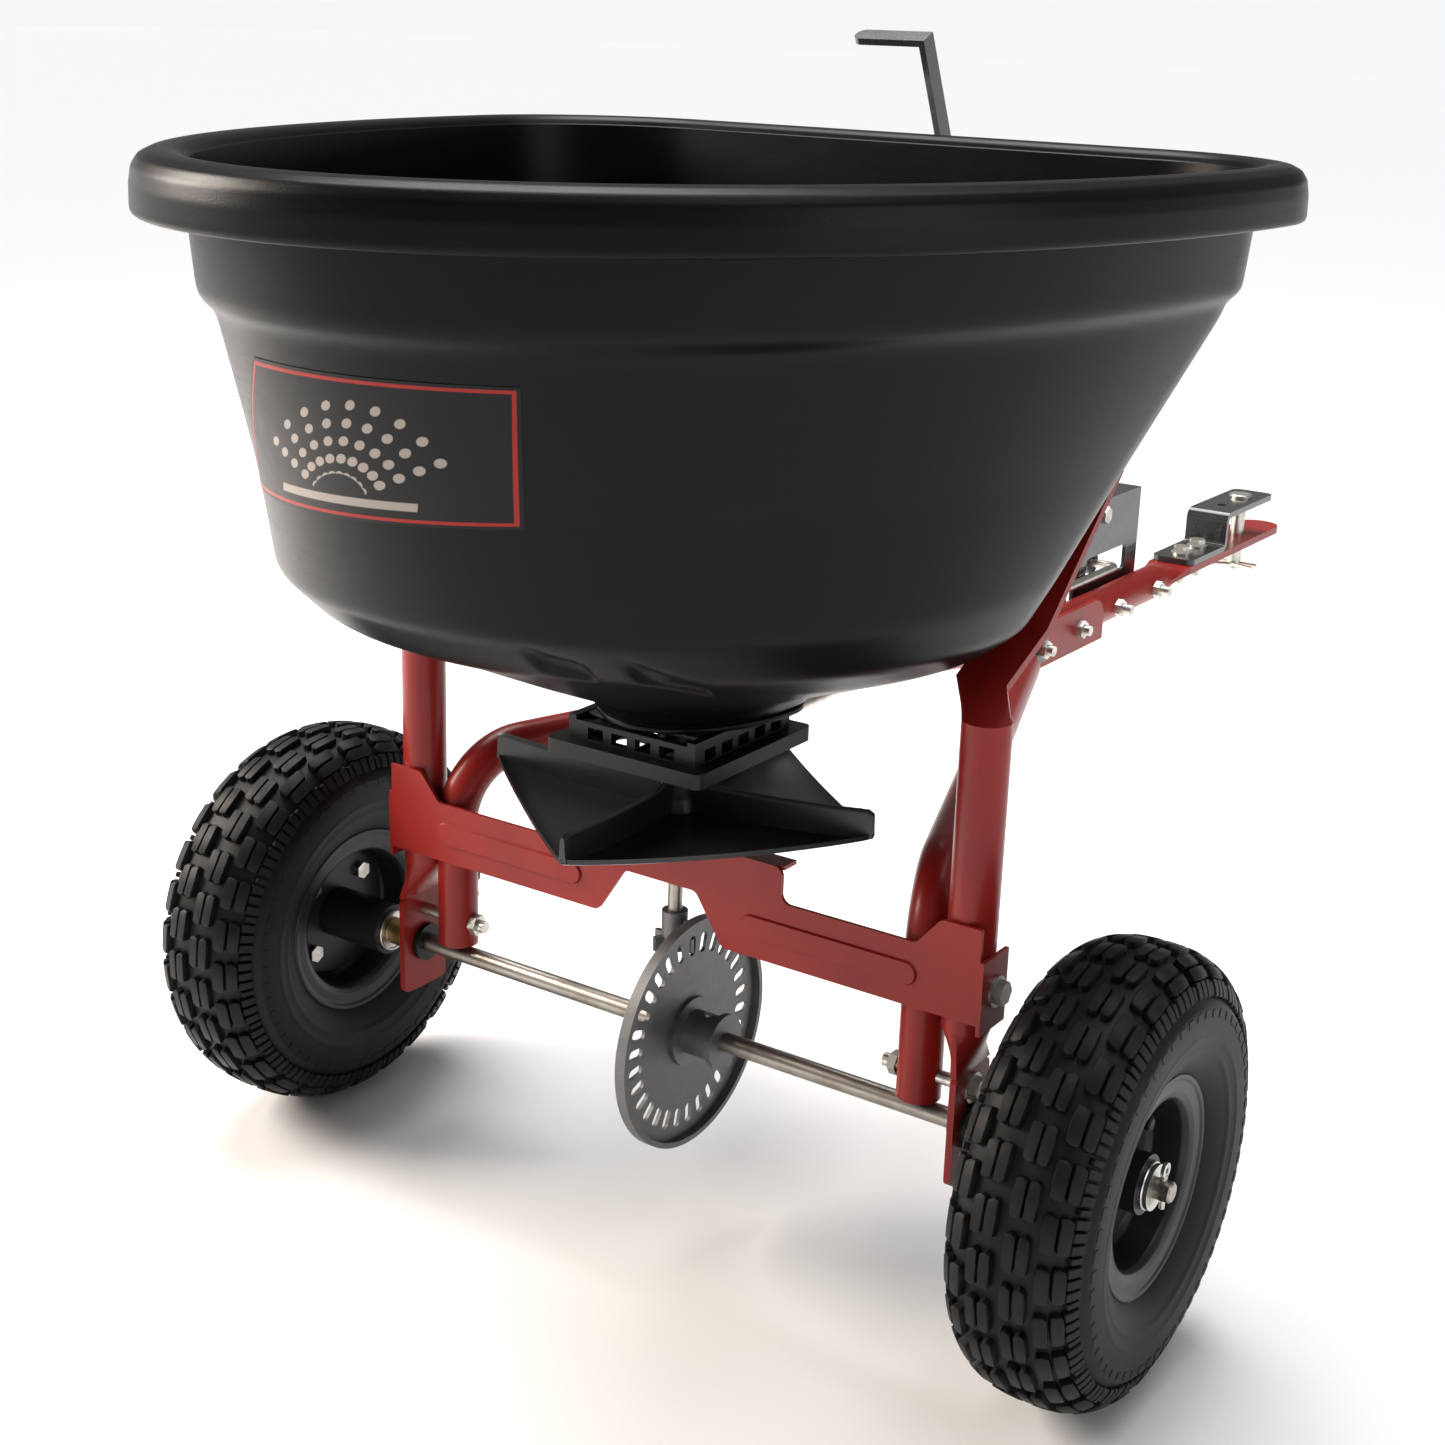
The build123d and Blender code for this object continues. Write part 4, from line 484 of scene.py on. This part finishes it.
# ---- Nylon bearings and gate housing ------------------------------------------------
# The axle bearings, shaft bushes and slotted gate housing are injection-moulded black nylon.

nylon, wire = start_material("black_nylon")
place = wire.node("TexCoord", {}, {}, "Object")
haze = place.noise(30, 4)
end_material(
    wire,
    {
        "Base Color": haze.tint(rgb(0.0035, 0.0036, 0.004), rgb(0.011, 0.011, 0.012)),
        "Roughness": 0.34 + 0.15 * haze,
        "Specular IOR Level": 0.25,
        "Normal": place.noise(1200, 2).bump(0.06, 0.4),
    },
)
for name in ("axle_bearing_left", "axle_bearing_right", "lower_bush", "upper_bush", "gate_housing"):
    parts[name].material_slots[0].material = nylon

# ---- Impeller -------------------------------------------------------------------
# The spinner is one black nylon moulding: a square plate dished up towards its corners,
# with four straight vanes that stand on its diagonals and a round hub pinned to the shaft.

plate_z, plate_t, tip_r, phase = 270.4, 2.8, 130.0, radians(6)


def dish(x, y):
    """Height of the plate's top: a shallow bowl that turns up near its edges."""
    far = np.hypot(x, y) / tip_r
    side = np.maximum(np.abs(x + y), np.abs(x - y)) / tip_r
    return 7.5 * far**2.2 + 2.2 * np.clip((side - 0.9) / 0.1, 0, 1) ** 2


steps = np.linspace(-1, 1, 61)
a, b = np.meshgrid(steps, steps, indexing="ij")
px, py = (a - b) * tip_r / 2, (a + b) * tip_r / 2
rise = dish(px, py)
soften = 1 - 0.012 * (np.abs(a * b)) ** 12
px, py = px * soften, py * soften
top = np.stack([px, py, plate_z + plate_t + rise], -1).reshape(-1, 3)
low = np.stack([px, py, plate_z + rise], -1).reshape(-1, 3)
n = len(steps)
rim_order = np.concatenate(
    [np.arange(n), np.arange(1, n) * n + n - 1, n * n - 2 - np.arange(n - 1), np.arange(n - 2, 0, -1) * n]
)
rim_next = np.roll(rim_order, -1)
plate_faces = np.concatenate(
    [
        grid_faces(n, n), grid_faces(n, n, first=n * n),
        np.stack([rim_order, rim_next, rim_next + n * n, rim_order + n * n], -1),
    ]
)

# A vane's cross-section is a thin wall, wide at its foot and rounded at its top.
section = np.array([(2.6, -1.5), (1.9, 4.0), (1.45, 15.0), (1.1, 17.2), (0.5, 18.3), (-0.5, 18.3),
                    (-1.1, 17.2), (-1.45, 15.0), (-1.9, 4.0), (-2.6, -1.5)])
along = np.linspace(0, 1, 40)
reach = 9.0 + (tip_r - 11.0) * along
tall = np.interp(reach, [9, 24, 119, 125, 128, 130], [1.25, 1.0, 0.94, 0.88, 0.72, 0.5])
foot = plate_z + plate_t + dish(reach, 0 * reach)
vane = np.stack(
    [
        np.broadcast_to(reach[:, None], (40, 10)), np.broadcast_to(section[:, 0], (40, 10)),
        foot[:, None] + section[:, 1] * tall[:, None],
    ],
    -1,
)
caps = [vane[:1].mean(1, keepdims=True).repeat(10, 1), vane[-1:].mean(1, keepdims=True).repeat(10, 1)]
vane = np.concatenate([caps[0], vane, caps[1]])


def spin(points, angle):
    """Points turned round the shaft."""
    x, y, z = points[..., 0], points[..., 1], points[..., 2]
    turned_x = x * np.cos(angle) - y * np.sin(angle)
    turned_y = x * np.sin(angle) + y * np.cos(angle)
    return np.stack([turned_x, turned_y, z], -1)


hub_profile = even_path(
    [(4.55, 267), (9, 267), (10, 268), (13, 271), (12.5, 274.5), (10.6, 281), (10, 290), (10, 299.5),
     (8.8, 301), (4.55, 301), (4.55, 267)], 0.8,
)
turn_u = np.linspace(0, 2 * pi, 48, endpoint=False)
hub_grid = np.stack(
    [
        hub_profile[:, :1] * np.cos(turn_u), hub_profile[:, :1] * np.sin(turn_u),
        hub_profile[:, 1:] + 0 * turn_u,
    ],
    -1,
)
blocks = [(np.concatenate([top, low]), plate_faces)]
for quarter in range(4):
    blocks.append((spin(vane, quarter * pi / 2).reshape(-1, 3), grid_faces(42, 10, wrap_cols=True)))
blocks.append((hub_grid.reshape(-1, 3), grid_faces(*hub_grid.shape[:2], wrap_cols=True)))


def gather(blocks):
    """Several point and face sets as one."""
    points, faces, first = [], [], 0
    for block_points, block_faces in blocks:
        points.append(block_points)
        faces.append(block_faces + first)
        first += len(block_points)
    return np.concatenate(points), np.concatenate(faces)


points, faces = gather(blocks)
impeller_nylon, wire = start_material("moulded_impeller")
place = wire.node("TexCoord", {}, {}, "Object")
flow = place.noise(16, 4, 0.6)
powder = place.noise(210, 5, 0.7)
chalk = powder.step(0.62, 0.82) * 0.35
end_material(
    wire,
    {
        "Base Color": chalk.tint(rgb(0.009, 0.0095, 0.011), rgb(0.075, 0.075, 0.075)),
        "Roughness": 0.24 + 0.2 * flow + 0.2 * chalk,
        "Normal": place.noise(1000, 2).bump(0.05, 0.35),
    },
)
spinner = piece_from(
    "impeller_moulding", spin(points, phase), faces, impeller_nylon, "spinner", 35
)
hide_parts("impeller")

# ---- Tyres ------------------------------------------------------------------------
# Each tyre is a black rubber carcass with knobs moulded on it: two rows of halved blocks on
# the crown, staggered, a row of notched blocks on each shoulder and small lugs below them.

wheel_r, axle_z, track, tread_r = 130.0, 130.0, 291.0, 126.0
swing = np.linspace(0, pi / 2, 60)
crown_x = 40.8 * np.sin(swing) ** (2 / 2.7)
crown_r = 92 + (wheel_r - 92) * np.cos(swing) ** (2 / 2.7)
drop = np.linspace(0, 0.72, 40)[1:]
wall_x, wall_r = 40.8 * np.cos(drop), 92 - 43 * np.sin(drop)
half_line = np.column_stack([np.concatenate([crown_x, wall_x, [29.2, 27.6, 27.2, 27.2]]),
                             np.concatenate([crown_r, wall_r, [62.6, 60.5, 57.0, 51.4]])])
half_line = even_path(half_line, 0.5, 0.8)
arc = np.concatenate([[0], np.cumsum(np.hypot(*np.diff(half_line, axis=0).T))])


def tyre_point(turn, across, height):
    """Point on the tyre: turn round the axle, arc across from the crown's middle and
    height above the knobs' outside."""
    side = np.sign(across)
    s = np.abs(across)
    x, r = np.interp(s, arc, half_line[:, 0]), np.interp(s, arc, half_line[:, 1])
    x2, r2 = np.interp(s + 0.5, arc, half_line[:, 0]), np.interp(s + 0.5, arc, half_line[:, 1])
    x1, r1 = np.interp(s - 0.5, arc, half_line[:, 0]), np.interp(s - 0.5, arc, half_line[:, 1])
    run = np.hypot(x2 - x1, r2 - r1) + 1e-9
    x, r = x - (r2 - r1) / run * height, r + (x2 - x1) / run * height
    return np.stack(np.broadcast_arrays(side * x, r * np.cos(turn), r * np.sin(turn)), -1)


def knobs(turn, middle, length, width, tall, sunk, slant=0.0, nip=0.0):
    """Blocks with sloped sides and eased edges, each a small grid whose outer rings go down
    to the carcass and in under the block."""
    rim = np.array([-1, -1, -1, -0.86, 0, 0.86, 1, 1, 1])
    i, j = np.meshgrid(np.arange(9), np.arange(9), indexing="ij")
    depth = np.minimum(np.minimum(i, 8 - i), np.minimum(j, 8 - j))
    p, q = rim[i], rim[j]
    spread = np.where(depth <= 1, 1.06, 1.0) * (depth > 0)
    corner = 1 - nip * (np.abs(p) * np.abs(q)) ** 4
    turn, middle = np.atleast_1d(turn)[:, None, None], np.asarray(middle, float)
    p_mm = p * spread * corner * length / 2 + slant * q * width / 2
    q_mm = q * spread * corner * width / 2
    height = np.where(depth <= 1, -sunk, np.where(depth == 2, tall - 0.7, tall))
    block = tyre_point(turn + p_mm / tread_r, middle + q_mm + 0 * turn, height + 0 * turn)
    faces = grid_faces(9, 9)
    first = np.arange(block.shape[0])[:, None, None] * 81
    return block.reshape(-1, 3), (faces[None] + first).reshape(-1, 4)


pitches = 28
pitch = 2 * pi / pitches
at = np.arange(pitches) * pitch
shells = []
across_line = np.linspace(-arc[-1] + 0.3, arc[-1] - 0.3, 150)
groove = -4.6 * np.clip((54 - np.abs(across_line)) / 8, 0, 1) ** 0.7
seam = 0.7 * np.exp(-((np.abs(across_line) - 79) / 1.2) ** 2)
seam = seam + 0.5 * np.exp(-((np.abs(across_line) - 71) / 0.9) ** 2)
around = np.linspace(0, 2 * pi, 180, endpoint=False)
skin = tyre_point(around[None, :], across_line[:, None], (groove + seam)[:, None])
lining = skin.copy()
lining_r = np.hypot(lining[..., 1], lining[..., 2])
shrink = np.interp(lining_r, [51, 60, 80, 130], [1.0, 0.96, 0.9, 0.93])
lining[..., 0] *= 0.8
lining[..., 1:] *= shrink[..., None]
bead_r = 51.5
lining_r = np.hypot(lining[..., 1], lining[..., 2])
lining[..., 1:] *= np.maximum(bead_r / lining_r, 1)[..., None]
carcass = np.concatenate([skin, lining[::-1]])
shells.append((carcass.reshape(-1, 3), grid_faces(*carcass.shape[:2], wrap_rows=True, wrap_cols=True)))
for side in (-1, 1):
    shift = pitch / 2 if side > 0 else 0
    for middle, width in ((6.1, 6.9), (13.7, 6.9)):
        shells.append(knobs(at + shift, side * middle, 20.5, width, 0, 5.4, 0.1 * side, 0.2))
    for middle, width in ((25.0, 8.4), (34.1, 8.0)):
        turns = at + shift + pitch / 2
        shells.append(knobs(turns, side * middle, 20.5, width, -0.1, 5.4, 0.15 * side, 0.16))
    for finger in (-7.4, 0.0, 7.4):
        turns = at + shift + pitch / 2 + finger / tread_r
        shells.append(knobs(turns, side * 43.6, 6.0, 10.5, -0.9, 5.4, 0, 0.1))
    shells.append(knobs(at + shift, side * 44.2, 4.0, 9.0, -1.4, 5.4, 0, 0.1))
    shells.append(knobs(at + shift, side * 57.5, 9.5, 5.2, 0.4, 1.6, 0, 0.15))
    shells.append(knobs(at + shift + pitch / 2, side * 57.5, 9.5, 5.2, 0.4, 1.6, 0, 0.15))
tyre_points, tyre_faces = gather(shells)

tyre_rubber, wire = start_material("tyre_rubber")
place = wire.node("TexCoord", {}, {}, "Object")
grime = place.noise(24, 5, 0.65)
pores = place.noise(950, 3)
dusty = grime.step(0.42, 0.75) * 0.55 + place.noise(170, 4, 0.7).step(0.5, 0.8) * 0.3
end_material(
    wire,
    {
        "Base Color": dusty.tint(rgb(0.004, 0.0042, 0.005), rgb(0.016, 0.0158, 0.016)),
        "Roughness": 0.45 + 0.16 * grime,
        "Specular IOR Level": 0.2,
        "Normal": pores.bump(0.12, 0.6),
    },
)
wheel_bodies = {"left": ("idle_wheel", -1), "right": ("drive_axle", 1)}
for name, (body, side) in wheel_bodies.items():
    placed = tyre_points + np.array([track * side, 0, axle_z])
    tyre = piece_from(f"knobby_tyre_{name}", placed, tyre_faces, tyre_rubber, body, 38)
    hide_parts(f"tyre_{name}")

# ---- Wheel rims ---------------------------------------------------------------------
# Each rim is two pressed steel halves in satin black, bolted together round a welded hub.
# The flange rolls over, and the well steps down to a flat centre with four dimples.

rim_black, wire = start_material("satin_black_rim")
place = wire.node("TexCoord", {}, {}, "Object")
haze = place.noise(20, 4, 0.6)
end_material(
    wire,
    {
        "Base Color": haze.tint(rgb(0.006, 0.0065, 0.0075), rgb(0.018, 0.0185, 0.0205)),
        "Roughness": 0.28 + 0.16 * haze,
        "Specular IOR Level": 0.3,
        "Normal": place.noise(800, 2).bump(0.05, 0.4),
    },
)
around = np.linspace(0, 2 * pi, 144, endpoint=False)
half_rim = [
    (0.05, 17.2), (0.05, 43.0), (1.0, 46.5), (4.5, 49.0), (20.0, 49.6), (25.2, 50.6), (27.2, 53.0),
    (27.6, 60.0), (28.4, 63.2), (30.0, 64.0), (31.2, 62.8), (31.0, 60.6), (29.9, 59.6), (29.4, 53.0),
    (27.8, 49.2), (24.5, 47.2), (8.0, 46.0), (4.8, 43.6), (3.4, 40.0), (2.5, 37.5), (2.5, 17.2), (0.05, 17.2),
]
half_rim = even_path(half_rim, 0.8, 0.35)
half_rim[-1] = half_rim[0]
for name, (body, side) in wheel_bodies.items():
    for half, way in (("inner", -side), ("outer", side)):
        x = way * half_rim[:, :1] + 0 * around
        r = half_rim[:, 1:]
        dimple = np.cos(4 * (around - pi / 4)) * np.exp(-((r - 40) / 5) ** 2) * (half_rim[:, :1] > 1.5)
        x = x + way * 1.2 * np.clip(dimple, 0, 1)
        grid = np.stack([x + track * side, r * np.cos(around), axle_z + r * np.sin(around)], -1)
        rim = piece_from(
            f"pressed_rim_{half}_{name}", grid.reshape(-1, 3), grid_faces(*grid.shape[:2], wrap_cols=True),
            rim_black, body, 40,
        )
        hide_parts(f"rim_{half}_{name}")
    parts[f"hub_{name}"].material_slots[0].material = rim_black
    parts[f"valve_{name}"].material_slots[0].material = tyre_rubber

# ---- Hub bearings ---------------------------------------------------------------------
# A ball bearing with a pressed steel shield sits in each end of a hub: bright outer ring,
# duller shield and bright inner ring.

bearing_steel, wire = start_material("bearing_steel")
place = wire.node("TexCoord", {}, {}, "Object")
film = place.noise(160, 4, 0.6)
end_material(
    wire,
    {
        "Base Color": film.tint(rgb(0.68, 0.68, 0.68), rgb(0.46, 0.45, 0.43)),
        "Metallic": 1.0,
        "Roughness": 0.15 + 0.2 * film,
    },
)
for name, (body, side) in wheel_bodies.items():
    bearings = []
    for x_face, way in ((230.0, -1), (319.0, 1)):
        line = [
            (-10, 9.9), (-3, 9.9), (-3, 14.0), (-0.6, 14.0), (0, 13.4), (0, 12.2), (-0.9, 11.9), (-0.9, 8.9),
            (0, 8.6), (0, 6.4), (-0.5, 6.06), (-10, 6.06), (-10, 9.9),
        ]
        line = even_path(line, 0.6)
        line[-1] = line[0]
        x = side * (x_face + way * line[:, :1]) + 0 * around
        r = line[:, 1:]
        grid = np.stack([x, r * np.cos(around), axle_z + r * np.sin(around)], -1)
        bearings.append((grid.reshape(-1, 3), grid_faces(*grid.shape[:2], wrap_cols=True)))
    points, faces = gather(bearings)
    bearing = piece_from(f"hub_bearings_{name}", points, faces, bearing_steel, body, 30)
    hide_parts(f"hub_bushes_{name}")

# ---- Floor, light and camera ---------------------------------------------------------
# A pale floor whose far edges rise to hide the horizon, under one broad soft light from
# above and three large lamps, seen from behind and to the right.

floor_finish, wire = start_material("studio_floor")
end_material(wire, {"Base Color": rgb(0.86, 0.86, 0.86), "Roughness": 0.9})
floor_mesh = bpy.data.meshes.new("studio_floor")
square = np.array([(-1, -1), (1, -1), (1, 1), (-1, 1)])
level = np.column_stack([square * 40, np.full(4, -0.0005)])
raised = np.column_stack([square * 90, np.full(4, 7.0)])
floor_faces = [(0, 1, 2, 3), (4, 5, 1, 0), (5, 6, 2, 1), (6, 7, 3, 2), (7, 4, 0, 3)]
floor_mesh.from_pydata(np.concatenate([level, raised]).tolist(), [], floor_faces)
floor_mesh.materials.append(floor_finish)
floor = bpy.data.objects.new("studio_floor", floor_mesh)
bpy.context.scene.collection.objects.link(floor)

world = bpy.data.worlds.new("soft_room")
bpy.context.scene.world = world
world.use_nodes = True
world.node_tree.nodes["Background"].inputs["Color"].default_value = rgb(1.0, 1.0, 1.0)
world.node_tree.nodes["Background"].inputs["Strength"].default_value = 0.2

warm, cool = (1.0, 0.9, 0.8), (0.93, 0.96, 1.0)
for name, where, size, watts, tint in (
    ("key_light", (-2.2, -0.9, 1.5), 1.3, 125, warm),
    ("top_light", (0.4, 0.3, 2.6), 2.0, 30, cool),
    ("side_light", (2.6, 0.2, 1.2), 1.4, 12, cool),
):
    lamp = bpy.data.lights.new(name, "AREA")
    lamp.energy, lamp.size = watts, size
    lamp.color = tint
    light = bpy.data.objects.new(name, lamp)
    light.location = where
    light.rotation_euler = (Vector((0, 0.1, 0.35)) - Vector(where)).to_track_quat("-Z", "Y").to_euler()
    bpy.context.scene.collection.objects.link(light)

sun = bpy.data.lights.new("broad_sky_light", "SUN")
sun.energy, sun.angle = 3.1, radians(40)
sky = bpy.data.objects.new("broad_sky_light", sun)
sky.rotation_euler = (radians(-14), radians(-18), 0)
bpy.context.scene.collection.objects.link(sky)

azimuth, elevation, roll_angle = radians(33.83), radians(18.01), radians(1.79)
back = Vector((sin(azimuth) * cos(elevation), -cos(azimuth) * cos(elevation), sin(elevation)))
right = Vector((cos(azimuth), sin(azimuth), 0))
over = back.cross(right)
lens = bpy.data.cameras.new("camera")
lens.sensor_width, lens.lens = 36.0, 53.67
lens.shift_x, lens.shift_y = -0.0039, -0.0066
lens.clip_start, lens.clip_end = 0.01, 200
camera = bpy.data.objects.new("camera", lens)
right_rolled = cos(roll_angle) * right + sin(roll_angle) * over
over_rolled = cos(roll_angle) * over - sin(roll_angle) * right
turned = Matrix((right_rolled, over_rolled, back)).transposed().to_4x4()
camera.matrix_world = Matrix.Translation((0.69492, -0.98574, 0.72505)) @ turned
bpy.context.scene.collection.objects.link(camera)
bpy.context.scene.camera = camera
bpy.context.scene.view_settings.view_transform = "Standard"

bpy.context.view_layer.update()
